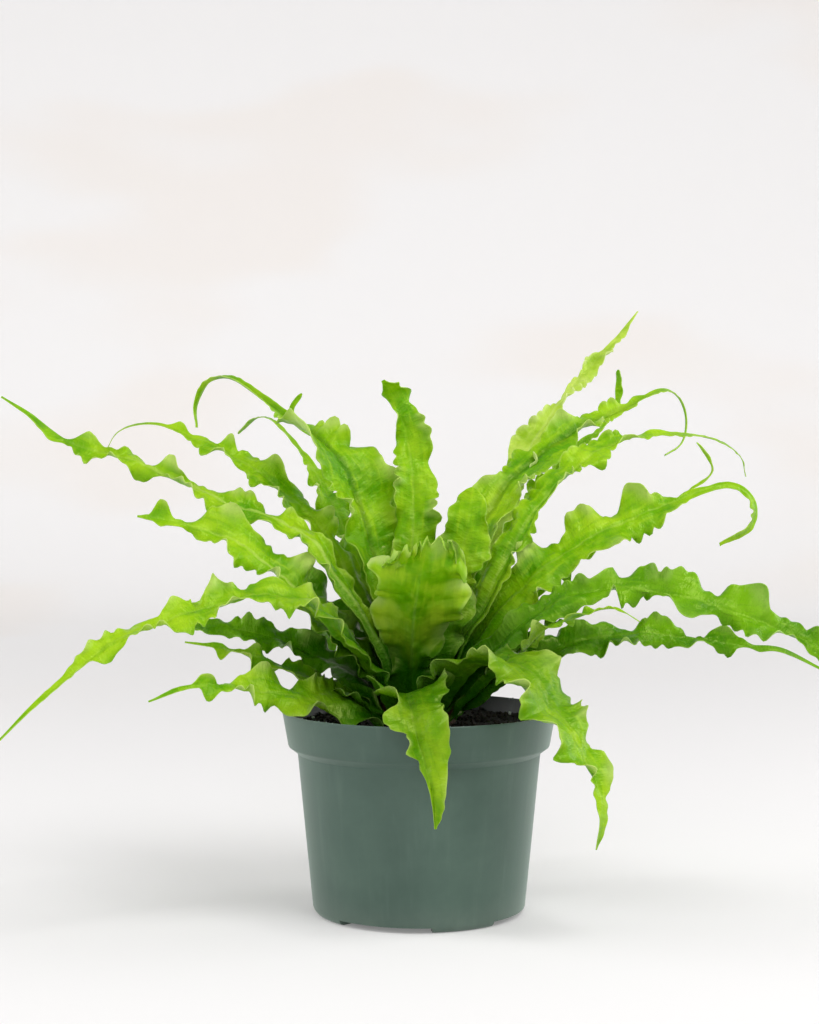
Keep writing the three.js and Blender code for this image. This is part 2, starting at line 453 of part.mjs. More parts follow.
function makePot() {
  const rimFoot = potHeight - rimDepth;
  const bodyTop = rimFoot - rimSlope;
  const outer = toManifold(lathe([
    [0, 0], [baseRadius - 3.2, 0], [baseRadius - 0.9, 1], [baseRadius + 0.2, 3.4],
    [bodyRadius, bodyTop], [rimFootRadius, rimFoot], [rimRadius - 0.3, potHeight - 1.2],
    [rimRadius, potHeight - 0.4], [rimRadius - 0.5, potHeight], [0, potHeight],
  ], potSides));
  const inner = toManifold(lathe([
    [0, 1.6], [baseRadius - 4, 1.6], [baseRadius - wall, 5],
    [bodyRadius - wall, bodyTop + wall], [rimFootRadius - wall, rimFoot + wall],
    [rimRadius - wall, potHeight + 1], [0, potHeight + 1],
  ], potSides));
  const notches = [];
  const trays = [];
  const drains = [];
  for (let k = 0; k < notchCount; k++) {
    const middle = footTurn + (k + 0.5) * (360 / notchCount);
    notches.push(toManifold(ringSector(notchInner, 90, middle, notchAngle, -5, notchRise)));
    trays.push(toManifold(ringSector(notchInner - wall, 90, middle, notchAngle + 3, -5, notchRise + 1.6)));
    for (const end of [-1, 1]) {
      const drain = new THREE.BoxGeometry(drainLength, drainWidth, 8);
      drain.translate(baseRadius - drainLength / 2 - 5, 0, notchRise);
      drain.rotateZ(THREE.MathUtils.degToRad(middle + end * (notchAngle / 2 - 5)));
      drains.push(toManifold(drain));
    }
  }
  const union = (list) => list.reduce((a, b) => a.add(b));
  const cavity = inner.subtract(union(trays));
  const solid = outer.subtract(union(notches)).subtract(cavity).subtract(union(drains));
  return fromManifold(solid);
}

const soilHeight = (x, y) =>
  soilTop + soilSwell * 0.25 * (Math.sin(x / 7 + 1) * Math.cos(y / 6) + Math.sin((x + 2 * y) / 11))
  - soilSwell * smooth(35, 74, Math.hypot(x, y)) * 0.6;

function makeSoil(crown) {
  const rimFoot = potHeight - rimDepth;
  const side = (z) => mix(rimFootRadius, rimRadius, (z - rimFoot) / rimDepth) - wall - 0.4;
  const geometry = lathe([
    [0, notchRise + 1.9], [baseRadius - wall - 0.6, notchRise + 1.9],
    [bodyRadius - wall - 0.5, rimFoot - rimSlope + wall], [side(rimFoot) - 0.3, rimFoot + wall + 0.5],
    [side(soilTop - 3), soilTop - 3], [64, soilTop], [48, soilTop], [34, soilTop], [0, soilTop],
  ], potSides);
  const position = geometry.getAttribute("position");
  for (let i = 0; i < position.count; i++) {
    if (position.getZ(i) < soilTop - 0.1) continue;
    position.setZ(i, soilHeight(position.getX(i), position.getY(i)));
  }
  return fromManifold(toManifold(geometry).subtract(crown));
}

function crownProfile(grow) {
  const profile = [[0, crownFoot - grow]];
  profile.push([crownRadius * 0.55 + grow, crownFoot - grow]);
  profile.push([crownRadius + grow, crownFoot + 9]);
  for (let k = 0; k <= 4; k++) {
    const a = (k / 4) * Math.PI / 2;
    profile.push([
      k === 4 ? 0 : (crownRadius + grow) * Math.cos(a),
      crownTop - 12 + (12 + grow) * Math.sin(a),
    ]);
  }
  return profile;
}

const fern = new THREE.Group();
fern.name = "birds_nest_fern";

function add(name, geometry, color, roughness) {
  const mesh = new THREE.Mesh(geometry, new THREE.MeshStandardMaterial({ color, roughness, metalness: 0 }));
  mesh.name = name;
  fern.add(mesh);
}

const sockets = Object.values(fronds).map((frond) => toManifold(frondSolid(frond, socketRows, gap)));
const crown = sockets.reduce(
  (solid, socket) => solid.subtract(socket),
  toManifold(lathe(crownProfile(0), 16)),
);

add("pot", makePot(), "#50655a", 0.6);
add("soil", makeSoil(toManifold(lathe(crownProfile(gap), 16))), "#14140a", 0.95);
add("crown", fromManifold(crown), "#2b1d10", 0.9);
for (const [name, frond] of Object.entries(fronds))
  add(name, frondSolid(frond), frond.color ?? leafGreen, 0.42);

export default fern;
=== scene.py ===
import math
import random

import bpy
import numpy as np
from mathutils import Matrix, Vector, noise


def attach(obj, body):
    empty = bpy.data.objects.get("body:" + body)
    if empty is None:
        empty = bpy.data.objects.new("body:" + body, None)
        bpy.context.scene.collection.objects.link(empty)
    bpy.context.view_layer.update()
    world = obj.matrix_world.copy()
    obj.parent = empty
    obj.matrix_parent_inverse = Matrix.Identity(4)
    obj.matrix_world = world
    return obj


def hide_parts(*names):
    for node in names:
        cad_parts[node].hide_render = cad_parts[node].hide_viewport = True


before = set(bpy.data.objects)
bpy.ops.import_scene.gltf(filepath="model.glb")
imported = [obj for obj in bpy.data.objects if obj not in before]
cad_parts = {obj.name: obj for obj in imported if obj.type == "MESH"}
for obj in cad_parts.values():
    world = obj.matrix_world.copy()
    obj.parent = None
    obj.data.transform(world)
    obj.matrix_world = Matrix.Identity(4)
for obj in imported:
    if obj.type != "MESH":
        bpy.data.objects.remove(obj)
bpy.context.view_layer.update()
bpy.context.scene.view_settings.view_transform = "Standard"


def clearSelection():
    if bpy.context.object and bpy.context.object.mode != "OBJECT":
        bpy.ops.object.mode_set(mode="OBJECT")
    bpy.ops.object.select_all(action="DESELECT")


def pickOnly(piece):
    clearSelection()
    piece.select_set(True)
    bpy.context.view_layer.objects.active = piece


def applyModifiers(piece):
    pickOnly(piece)
    for modifier in list(piece.modifiers):
        bpy.ops.object.modifier_apply(modifier=modifier.name)


def copyAt(source, place, turn, size):
    copy = source.copy()
    copy.data = source.data.copy()
    copy.location, copy.rotation_euler, copy.scale = place, turn, size
    bpy.context.scene.collection.objects.link(copy)
    return copy


def joinCopies(copies):
    # all become one piece, the first one, with its place kept in its mesh
    clearSelection()
    for copy in copies:
        copy.select_set(True)
    bpy.context.view_layer.objects.active = copies[0]
    bpy.ops.object.join()
    pickOnly(copies[0])
    bpy.ops.object.transform_apply(location=True, rotation=True, scale=True)
    return copies[0]


def points(piece):
    places = np.zeros(len(piece.data.vertices) * 3, np.float32)
    piece.data.vertices.foreach_get("co", places)
    return places.reshape(-1, 3).astype(float)


def movePoints(piece, places):
    piece.data.vertices.foreach_set("co", np.asarray(places, np.float32).ravel())
    piece.data.update()


def smoothStep(low, high, x):
    t = np.clip((x - low) / (high - low), 0, 1)
    return t * t * (3 - 2 * t)


def between(a, b, t):
    return a + (b - a) * t


def rgb(*levels):
    # a colour as a screen shows it, 0 to 255, turned into light
    parts = [level / 255 for level in levels]
    return (*[p / 12.92 if p <= 0.04045 else ((p + 0.055) / 1.055) ** 2.4 for p in parts], 1)


# Materials are put together from these few helpers
def newMaterial(name):
    # gives the new material, and the place on the part, in metres, that its patterns follow
    mat = bpy.data.materials.new(name)
    mat.use_nodes = True
    mat.node_tree.nodes.clear()
    return mat, addNode(mat, "ShaderNodeTexCoord").outputs["Object"]


def addNode(mat, kind, inputs=None, **settings):
    node = mat.node_tree.nodes.new(kind)
    for key, value in settings.items():
        setattr(node, key, value)
    for key, value in (inputs or {}).items():
        if isinstance(value, bpy.types.NodeSocket):
            mat.node_tree.links.new(value, node.inputs[key])
        else:
            node.inputs[key].default_value = value
    return node


def mixColors(mat, factor, first, second):
    return addNode(mat, "ShaderNodeMix", {0: factor, 6: first, 7: second}, data_type="RGBA").outputs[2]


def mathNode(mat, operation, *values):
    return addNode(mat, "ShaderNodeMath", dict(enumerate(values)), operation=operation).outputs[0]


def weighedSum(mat, *terms):
    # adds values up, each times its own weight
    parts = [mathNode(mat, "MULTIPLY", value, weight) for value, weight in terms]
    total = parts[0]
    for part in parts[1:]:
        total = mathNode(mat, "ADD", total, part)
    return total


def rangeNode(mat, value, low, high, toLow=0.0, toHigh=1.0):
    inputs = {"Value": value, "From Min": low, "From Max": high, "To Min": toLow, "To Max": toHigh}
    return addNode(mat, "ShaderNodeMapRange", inputs, interpolation_type="SMOOTHSTEP").outputs[0]


def noiseNode(mat, vector, scale, detail, roughness):
    inputs = {"Vector": vector, "Scale": scale, "Detail": detail, "Roughness": roughness}
    return addNode(mat, "ShaderNodeTexNoise", inputs).outputs[0]


def rampNode(mat, factor, stops):
    node = addNode(mat, "ShaderNodeValToRGB", {0: factor})
    while len(node.color_ramp.elements) < len(stops):
        node.color_ramp.elements.new(0.5)
    for element, (place, color) in zip(node.color_ramp.elements, stops):
        element.position = place
        element.color = color
    return node.outputs[0]


def washColors(mat, color, *washes):
    # each wash: the value it follows, where it sets in and is full, its share, its own colour
    for value, low, high, share, wash in washes:
        color = mixColors(mat, rangeNode(mat, value, low, high, 0.0, share), color, wash)
    return color


def bumpNode(mat, height, strength, distance):
    inputs = {"Height": height, "Strength": strength, "Distance": distance}
    return addNode(mat, "ShaderNodeBump", inputs).outputs[0]


def skinNode(mat, color, rough, gloss, others):
    return addNode(mat, "ShaderNodeBsdfPrincipled", {
        "Base Color": color, "Roughness": rough, "Specular IOR Level": gloss, **others}).outputs[0]


def closeMaterial(mat, shader):
    addNode(mat, "ShaderNodeOutputMaterial", {0: shader})
    return mat


# Camera, where the photo was taken from
cameraSettings = {"place": (-0.0054, -1.110, 0.253), "lookDown": 1.4, "lens": 68.98}
bpy.ops.object.camera_add(location=cameraSettings["place"],
                          rotation=(math.radians(90 - cameraSettings["lookDown"]), 0, 0))
camera = bpy.context.object
camera.name = "photo_camera"
camera.data.lens = cameraSettings["lens"]
camera.data.sensor_width = 36
camera.data.clip_end = 50
bpy.context.scene.camera = camera
print("camera ready")

# Fronds. Sizes are in millimetres and angles in degrees, as the solids have them
bladeSettings = {
    "columns": 28, "rowStep": 1.25,  # the grid that each blade is bent from
    "stipeHalf": 1.7, "stipeThick": 2.4, "edgeThick": 0.45, "ribThick": 0.8, "tipHalf": 0.5,
    "ribWidth": 1.5, "groove": 0.4, "fold": 1.4, "crinkle": 0.6, "cup": 10, "foot": 0.75, "ruffle": 4,
    "roll": [0, 0], "shape": [2, 30, 55, 100],
    "skirtRise": (0.04, 0.16), "skirtFall": (0.26, 0.42),  # where along a blade its skirt is
    "wave": 24, "lobe": 0.16, "curlFrom": 0.62, "curl": 75, "curlHalf": 14,  # the large lobes
    "frillWave": 8.5, "frill": 2.0, "scallop": 1.35,  # the small frills along the margins
}

# For each frond: which way it goes (turn, 0 is +X), where it starts (root), its half width, how far along
# it, in percent, the blade opens, is full, narrows and ends (shape), how it rolls from base to tip, and its
# midrib's points as [out, aside, up]. Left and right list the peaks and notches of its margins, each as
# [percent along the frond, half width], and a skirt is extra width near the base.
fronds = {
    "frond_left_1": {
        "turn": 138, "root": (-6, 3, 110), "half": 22, "shape": [4, 34, 46, 68], "roll": [0, -10],
        "ruffle": 4.5, "seed": 1, "rib": "dark", "tail": 3, "cup": 24,
        "midrib": [(28, -3, 170), (44, -3, 212), (56, -2, 242), (70, 1, 262), (94, 0, 274), (122, 0, 289),
            (154, 0, 305), (176, 0, 304), (188, 0, 290), (187, 0, 276)],
        "left": [(36, 22), (39, 24), (42, 28), (45, 23), (49, 29), (53, 32), (60, 27), (64, 14), (68, 7),
            (75, 3.6), (90, 3.4), (100, 1.2)],
        "right": [(43, 27), (46, 23), (49, 29), (52, 19), (55, 14), (58, 9), (61, 10), (64, 6), (68, 4),
            (75, 3.2), (90, 3.4), (100, 1.2)]},
    "frond_left_2": {
        "turn": 173, "root": (-10, -1, 110), "half": 11.5, "shape": [3, 42, 60, 100], "roll": [-10, -45],
        "ruffle": 4.5, "seed": 2, "foot": 0.9, "rib": "pale",
        "midrib": [(23, 2, 150), (44, 4, 183), (61, 3, 208), (80, 2, 220), (109, 0, 230), (138, 0, 243),
            (168, 0, 256), (191, 0, 261), (210, 0, 269), (228, 0, 282), (244, 0, 292)],
        "left": [(57, 9.5), (62, 4.5), (66, 1.5), (69, 6), (73, 7), (76.5, 4.5), (79, 12), (85, 1.5),
            (88, 6.5), (95, 1.5), (100, 0.6)],
        "right": [(46, 9), (50, 10), (53, 7.5), (56, 9), (60, 5.5), (63.5, 3), (66.5, 9), (69, 2.5),
            (73, 9), (77, 2), (82, 9.5), (86, 2), (93, 1.5), (100, 0.6)]},
    "frond_left_3": {
        "turn": 150, "root": (-10, 4, 110), "half": 11, "shape": [3, 30, 46, 85], "roll": [-5, -40],
        "seed": 3, "foot": 0.9, "tail": 1.2,
        "midrib": [(24, 0, 149), (44, -2, 180), (62, -4, 209), (86, -3, 231), (110, 0, 248), (136, 0, 262),
            (160, 0, 270), (182, 0, 277), (202, 0, 277), (216, 0, 272), (224, 0, 262)],
        "left": [(48, 12.5), (52, 6.5), (57, 11.5), (60, 4), (65, 6.5), (67, 4), (69.5, 12), (74, 5),
            (79, 1.5), (90, 1.2), (100, 0.6)],
        "right": [(38, 6), (42, 9.5), (45, 7), (50, 13), (52.5, 8.5), (57, 14.5), (60, 10.5), (63, 13.5),
            (66, 5), (68, 9), (70, 1.5), (74, 4.5), (76, 1.5), (80, 5.5), (83, 1.3), (100, 0.6)]},
    "frond_left_4": {
        "turn": 187, "root": (-13, -3, 109), "half": 16, "shape": [3, 42, 60, 100], "roll": [-15, -60],
        "ruffle": 5, "seed": 4, "foot": 0.75, "skirt": (9, 5), "rib": "pale",
        "midrib": [(22, 0, 131), (43, 1, 154), (65, 3, 177), (87, 3, 198), (109, 0, 212), (134, 0, 220),
            (158, 0, 224)],
        "left": [(59, 11), (61, 7.5), (68, 15), (74, 8), (80, 11), (84, 3), (87, 2.5), (93, 5.5), (96, 1.5),
            (100, 0.6)],
        "right": [(30, 15), (36, 13), (42, 18), (48, 14), (52, 18), (57, 14), (62, 17), (68, 13), (74, 17),
            (80, 16), (85, 3), (89, 2), (94, 11), (97, 2), (100, 0.6)]},
    "frond_left_5": {
        "turn": 209, "root": (-11, -9, 108), "half": 10, "shape": [2, 25, 50, 100], "roll": [-12, -40],
        "seed": 5, "foot": 1.2, "skirt": (3, 13),
        "midrib": [(28, 3, 134), (50, 7, 155), (71, 9, 175), (94, 6, 183), (122, 0, 178), (150, 0, 171),
            (183, 0, 160), (207, 0, 143), (228, 0, 127), (245, 0, 112)],
        "left": [(37, 20), (42, 8), (45.5, 5), (50, 12), (56, 10.5), (60, 12.5), (63.5, 4.5), (67, 3),
            (73, 5), (76, 6.5), (79, 1.2), (100, 0.6)],
        "right": [(43, 15), (45.5, 8.5), (50, 12.5), (53, 8), (54, 12.5), (55, 8), (58.5, 10.5),
            (62.5, 4.5), (66, 10), (70, 6), (78, 4.5), (86, 2.5), (100, 0.6)]},
    "frond_left_6": {
        "turn": 176, "root": (-17, 3, 106), "half": 14, "shape": [2, 30, 60, 100], "roll": [-8, -45],
        "seed": 6, "foot": 1.5, "skirt": (3, 3), "look": "leaf_deep",
        "midrib": [(32, -2, 130), (54, -4, 141), (77, -4, 151), (99, 0, 158), (116, 0, 161), (133, 0, 163)],
        "left": [(50, 11), (57, 14), (62, 9), (67, 12.5), (71, 9), (74, 13), (78, 6), (83, 5), (92, 10),
            (98, 7), (100, 2)],
        "right": [(42, 13.5), (50, 8), (57, 13), (62, 9.5), (65, 11.5), (72, 6.5), (79, 9), (85, 7),
            (93, 3.5), (100, 1)]},
    "frond_left_7": {
        "turn": 194, "root": (-16, -3, 107), "half": 11, "shape": [2, 30, 50, 90], "roll": [2, -42],
        "seed": 7, "foot": 1.7, "skirt": (2, 5), "cup": 5,
        "midrib": [(34, 2, 121), (58, 3, 131), (80, 2, 141), (98, 0, 148), (115, 0, 152), (133, 0, 155)],
        "left": [(55, 9), (60, 6), (67, 11), (72, 5.5), (79, 5.5), (84, 9), (88, 1), (100, 0.5)],
        "right": [(54, 7), (58, 1.5), (64, 6.5), (69, 5), (75, 1), (80, 1), (84, 4), (93, 1), (100, 0.5)]},
    "frond_left_8": {
        "turn": 212, "root": (-13, -11, 107), "half": 14, "roll": [-30, -50], "seed": 8, "foot": 1.1,
        "skirt": (3, 8), "cup": 5,
        "midrib": [(36, 8, 115), (62, 8, 121), (89, 5, 128), (115, 0, 133), (140, 0, 136), (167, 0, 129)],
        "left": [(22, 10), (27, 15), (32, 6), (37, 6), (45, 19), (55, 6), (60, 8.5), (63, 2.5), (72, 4.5),
            (78, 9), (81, 1.5), (100, 0.5)],
        "right": [(40, 17), (46, 12), (52, 16), (58, 14.5), (64, 9.5), (68, 5.5), (73, 1), (78, 4.5),
            (84, 1), (88, 2), (100, 0.5)]},
    "frond_left_9": {
        "turn": 122, "root": (-9, 9, 110), "half": 10, "shape": [3, 35, 50, 70], "ruffle": 3.5, "seed": 21,
        "tail": 1.6,
        "midrib": [(42, 0, 166), (82, 0, 212), (122, 0, 249), (153, 0, 270), (180, 0, 282), (202, 0, 282),
            (224, 0, 273)]},
    "frond_left_10": {
        "turn": 104, "root": (-3, 11, 110), "half": 16, "shape": [3, 40, 50, 72], "ruffle": 4.5, "seed": 22,
        "tail": 1.6,
        "midrib": [(35, -4, 178), (59, 0, 228), (80, 12, 254), (93, 30, 265), (100, 44, 272),
            (102, 52, 279), (102, 54, 287), (101, 48, 296)]},
    "frond_centre_1": {
        "turn": 90, "root": (-1, 5, 112), "half": 12.5, "shape": [3, 35, 70, 120], "roll": [0, 10],
        "seed": 9, "round": 9,
        "midrib": [(12, 4, 152), (22, 4, 195), (34, 3, 232), (44, 6, 264), (46, 13, 288), (40, 21, 302)],
        "left": [(50, 12), (56, 9), (62, 11.5), (70, 10), (76, 10), (81, 6), (85, 5), (88, 2.5), (91, 3),
            (95, 5), (100, 1)],
        "right": [(50, 12.5), (55, 14.5), (58, 11.5), (66, 15.5), (73, 10.5), (77, 13), (85, 12), (90, 9.5),
            (93, 10.5), (97, 7), (100, 1)]},
    "frond_centre_2": {
        "turn": 270, "root": (-3, -7, 112), "half": 29, "shape": [0, 62, 120, 150], "seed": 10,
        "cup": 16, "foot": 0.55, "look": "leaf_young",
        "crest": [(-1, -7), (-0.86, -1), (-0.72, -4), (-0.6, 2), (-0.5, -3), (-0.32, 4), (-0.1, 5),
            (0.05, 9), (0.22, 4), (0.45, 6), (0.62, 2), (0.8, 4), (1, -9)],
        "midrib": [(17, -4, 140), (30, -3, 168), (44, 0, 190), (56, 2, 206)],
        "left": [(26, 9), (34, 12), (41, 17), (48, 21), (55, 29), (62, 27), (68, 31), (75, 27), (82, 29),
            (86, 25), (90, 26), (100, 20)],
        "right": [(26, 11), (34, 14), (41, 18), (48, 20), (55, 25), (61, 22), (68, 24), (75, 22), (82, 27),
            (86, 22), (90, 23), (100, 16)]},
    "frond_centre_3": {
        "turn": 270, "root": (6, -1, 112), "half": 15, "shape": [3, 40, 75, 115], "ruffle": 3, "seed": 11,
        "round": 7,
        "midrib": [(6, 10, 150), (5, 19, 185), (3, 27, 216), (0, 30, 240)]},
    "frond_right_1": {
        "turn": 57, "root": (3, 12, 110), "half": 10, "shape": [3, 35, 60, 100], "roll": [0, 20],
        "ruffle": 3.5, "seed": 12, "look": "leaf_pale",
        "midrib": [(36, 4, 162), (64, 1, 200), (96, -3, 240), (133, -3, 272), (160, -2, 291), (197, 0, 312),
            (236, 0, 332), (276, 0, 357)],
        "left": [(28, 13), (34, 11), (40, 14), (46, 10), (52, 12), (60, 4.5), (65, 2.5), (70, 4), (75, 1),
            (80, 4), (86, 2.3), (92, 1), (100, 0.5)],
        "right": [(36, 14), (42, 10), (46, 13), (50, 8), (55, 11), (61, 5), (66, 5), (71, 8), (76, 7),
            (80, 5), (83, 7.5), (87, 3), (92, 4), (96, 1.5), (100, 0.5)]},
    "frond_right_2": {
        "turn": 44, "root": (7, 6, 110), "half": 18, "shape": [3, 30, 55, 74], "roll": [0, 36], "seed": 13,
        "rib": "dark", "tail": 2.6, "cup": 20,
        "midrib": [(22, 3, 156), (50, 8, 204), (80, 9, 237), (106, 7, 256), (138, 2, 274), (181, 0, 288),
            (214, 0, 300), (233, 0, 297), (242, 0, 283), (238, 0, 267), (221, 0, 259)],
        "left": [(30, 13), (34, 9), (38, 15), (42, 9), (48, 15.5), (51, 8.5), (57, 12), (60, 7), (63.5, 12),
            (65, 7), (68, 8), (72, 2.5), (75, 5.5), (77, 1.5), (100, 1.2)],
        "right": [(40, 21), (47, 17.5), (54, 13.5), (58, 5), (60, 13), (68, 5.5), (70, 2.5), (71, 7.5),
            (74.5, 1.5), (80, 4), (85, 2.5), (100, 1.2)]},
    "frond_right_3": {
        "turn": 34, "root": (12, 4, 110), "half": 11, "shape": [3, 30, 60, 74], "roll": [5, 35],
        "ruffle": 3.5, "seed": 31, "foot": 0.9, "tail": 2.2,
        "midrib": [(20, -5, 147), (35, -12, 172), (53, -12, 200), (72, -12, 225), (95, -10, 244),
            (118, -6, 257), (142, -2, 266), (166, 0, 270), (193, 0, 272), (227, 0, 268), (247, 0, 258),
            (252, 0, 245)],
        "left": [(67, 7.5), (71, 4), (74, 4.5), (78, 1), (100, 0.8)],
        "right": [(33, 8), (40, 5), (45, 6.5), (53, 4.5), (57, 11), (62, 5), (66.5, 1.5), (70, 4.5),
            (74, 1.5), (80, 5.5), (85, 2.5), (89, 5), (100, 0.8)]},
    "frond_right_4": {
        "turn": 12, "root": (12, -1, 109), "half": 15.5, "shape": [3, 35, 55, 72], "roll": [22, 62],
        "ruffle": 4.5, "seed": 15, "foot": 0.7, "tail": 3.2,
        "midrib": [(24, 0, 135), (46, 0, 166), (72, 1, 191), (96, 1, 207), (120, 0, 219), (144, 0, 228),
            (168, 0, 237), (184, 0, 241), (196, 0, 237), (202, 0, 227), (198, 0, 214), (180, 0, 206)],
        "left": [(30, 17), (34, 12), (38, 19), (40, 17), (43.5, 11), (48.5, 20), (51.5, 17), (53.5, 9.5),
            (56, 10), (60, 17), (64, 7.5), (66.5, 8.5), (68.5, 2), (72, 3), (76, 1.5), (90, 2), (100, 1.2)],
        "right": [(35, 18), (38, 13), (46, 14), (53, 21), (56, 12.5), (61, 12), (66, 7.5), (72, 3),
            (80, 2.5), (86, 3), (89, 7), (94, 5), (100, 1.2)]},
    "frond_right_5": {
        "turn": 350, "root": (12, -6, 108), "half": 17, "shape": [2, 60, 75, 108], "roll": [26, 60],
        "ruffle": 4.5, "seed": 16, "foot": 0.8, "look": "leaf_deep",
        "midrib": [(28, -2, 134), (46, -3, 150), (62, -5, 165), (84, -5, 178), (112, 0, 184), (140, 0, 181),
            (168, 0, 174), (196, 0, 164), (220, 0, 154), (241, 0, 140)],
        "left": [(23, 9), (28, 12), (33, 14), (38, 11.5), (44, 6), (48, 13.5), (49.5, 11), (53, 16),
            (56.5, 9), (62, 18), (68, 9), (72, 17.5), (77, 15), (80, 8), (85, 10), (88, 7.5), (92, 9.5),
            (100, 2)],
        "right": [(30, 14), (35, 12), (41, 8.5), (45, 11.5), (47.5, 8.5), (50, 12.5), (54.5, 2), (58, 4),
            (64, 18), (70, 5), (73, 5.5), (78.5, 14.5), (86, 2.5), (91, 7), (100, 1)]},
    "frond_right_6": {
        "turn": 3, "root": (17, -1, 106), "half": 12, "shape": [2, 30, 60, 86], "roll": [30, 60],
        "seed": 17, "foot": 1.2, "tail": 1.6, "look": "leaf_deep",
        "midrib": [(38, 0, 131), (62, 0, 142), (86, 0, 151), (115, 0, 156), (138, 0, 156), (161, 0, 153),
            (188, 0, 149), (208, 0, 147), (230, 0, 136)],
        "left": [(35, 11), (40, 11.5), (43, 8), (46.5, 13), (52, 4), (58, 10), (61, 9), (67, 1.5), (69, 2),
            (74, 7.5), (79, 4), (83, 1), (100, 0.8)],
        "right": [(33, 10.5), (36, 12.5), (38, 9.5), (42, 10.5), (46, 9), (51, 13.5), (55, 8.5), (61, 6),
            (65.5, 9), (68, 5), (72, 3.5), (76, 6.5), (80, 1), (84, 4), (88, 2.5), (100, 0.8)]},
    "frond_right_7": {
        "turn": 315, "root": (10, -13, 107), "half": 16, "shape": [0, 22, 50, 100], "roll": [10, -10],
        "seed": 18, "foot": 1.2, "skirt": (7, 9),
        "midrib": [(34, -2, 134), (54, -1, 145), (72, 0, 146), (88, 0, 138), (100, 0, 124), (115, 0, 110),
            (129, 0, 88), (134, 0, 70), (130, 0, 52)],
        "left": [(34, 19), (38, 17), (44, 21), (48, 20), (55, 20), (59, 15), (63, 13), (67, 12), (71, 9),
            (74, 12), (81, 8), (87, 7), (95, 4), (100, 0.5)],
        "right": [(36, 23), (41, 28), (45, 25), (49, 32), (52, 27), (56, 32), (59, 25), (63, 29),
            (65.5, 19), (69, 19), (73, 19), (75.5, 9), (78, 6), (82, 5), (87, 3.5), (95, 2.5), (100, 0.6)]},
    "frond_right_8": {
        "turn": 341, "root": (15, -9, 107), "half": 6, "shape": [5, 40, 60, 100], "ruffle": 2.5, "seed": 19,
        "foot": 1.6,
        "midrib": [(36, 3, 128), (54, -1, 142), (70, -4, 158), (88, -2, 168), (105, 0, 173), (116, 0, 173),
            (127, 0, 167)]},
    "frond_right_9": {
        "turn": 23, "root": (16, 5, 108), "half": 7, "shape": [3, 35, 50, 75], "ruffle": 2.5, "seed": 23,
        "foot": 1.2, "tail": 1.6,
        "midrib": [(37, 3, 143), (56, 4, 163), (103, 4, 196), (142, 3, 217), (176, 1, 236), (192, 0, 247),
            (191, 0, 256), (182, 0, 266)]},
    "frond_right_10": {
        "turn": 51, "root": (10, 11, 109), "half": 7, "shape": [3, 35, 60, 85], "ruffle": 2.5, "seed": 24,
        "tail": 2.4,
        "midrib": [(34, -1, 154), (98, 3, 220), (156, 2, 258), (190, 0, 278), (206, 0, 292),
            (206, 0, 314)]},
    "frond_front_1": {
        "turn": 270, "root": (-3, -16, 107), "half": 18, "shape": [5, 35, 50, 100], "ruffle": 3.5,
        "seed": 20, "cup": 25,
        "midrib": [(36, -6, 121), (56, -6, 127), (76, -5, 124), (90, -2, 112), (97, 3, 97), (100, 7, 80),
            (98, 8, 64)],
        "left": [(16, 19), (20, 24), (25, 28), (31, 22), (40, 24), (50, 18), (57, 17), (62, 19), (66, 19),
            (72, 16), (80, 10), (90, 6), (95, 4), (100, 0.8)],
        "right": [(16, 17), (20, 21), (25, 25), (32, 17), (38, 20), (44, 8), (49, 7), (55, 18), (60, 15),
            (62.5, 5), (70, 8), (73, 4), (78, 3), (85, 1.5), (100, 0.6)]},
    "frond_back_1": {
        "turn": 76, "root": (5, 17, 107), "half": 15, "seed": 25, "look": "leaf_deep",
        "midrib": [(36, 0, 136), (66, 0, 156), (102, 0, 152), (132, 0, 126), (150, 0, 92), (154, 0, 62)]},
    "frond_back_2": {
        "turn": 97, "root": (-2, 17, 107), "half": 15, "seed": 26, "look": "leaf_deep",
        "midrib": [(36, 0, 128), (62, 0, 138), (96, 0, 132), (120, 0, 108), (134, 0, 80)]},
    "frond_back_3": {
        "turn": 122, "root": (-9, 15, 107), "half": 15, "seed": 27, "look": "leaf_deep",
        "midrib": [(36, 0, 138), (68, 0, 156), (100, 0, 150), (128, 0, 126), (146, 0, 94)]},
    "frond_back_4": {
        "turn": 50, "root": (12, 13, 107), "half": 14, "seed": 28, "look": "leaf_deep",
        "midrib": [(36, 0, 127), (62, 0, 139), (88, 0, 132), (110, 0, 108), (122, 0, 80)]},
    "frond_back_5": {
        "turn": 156, "root": (-15, 10, 107), "half": 13, "shape": [5, 50, 65, 100], "roll": [-5, -30],
        "seed": 29, "skirt": (9, 9), "look": "leaf_deep",
        "midrib": [(30, -1, 141), (54, -1, 166), (78, 0, 186), (102, 0, 200)]},
}


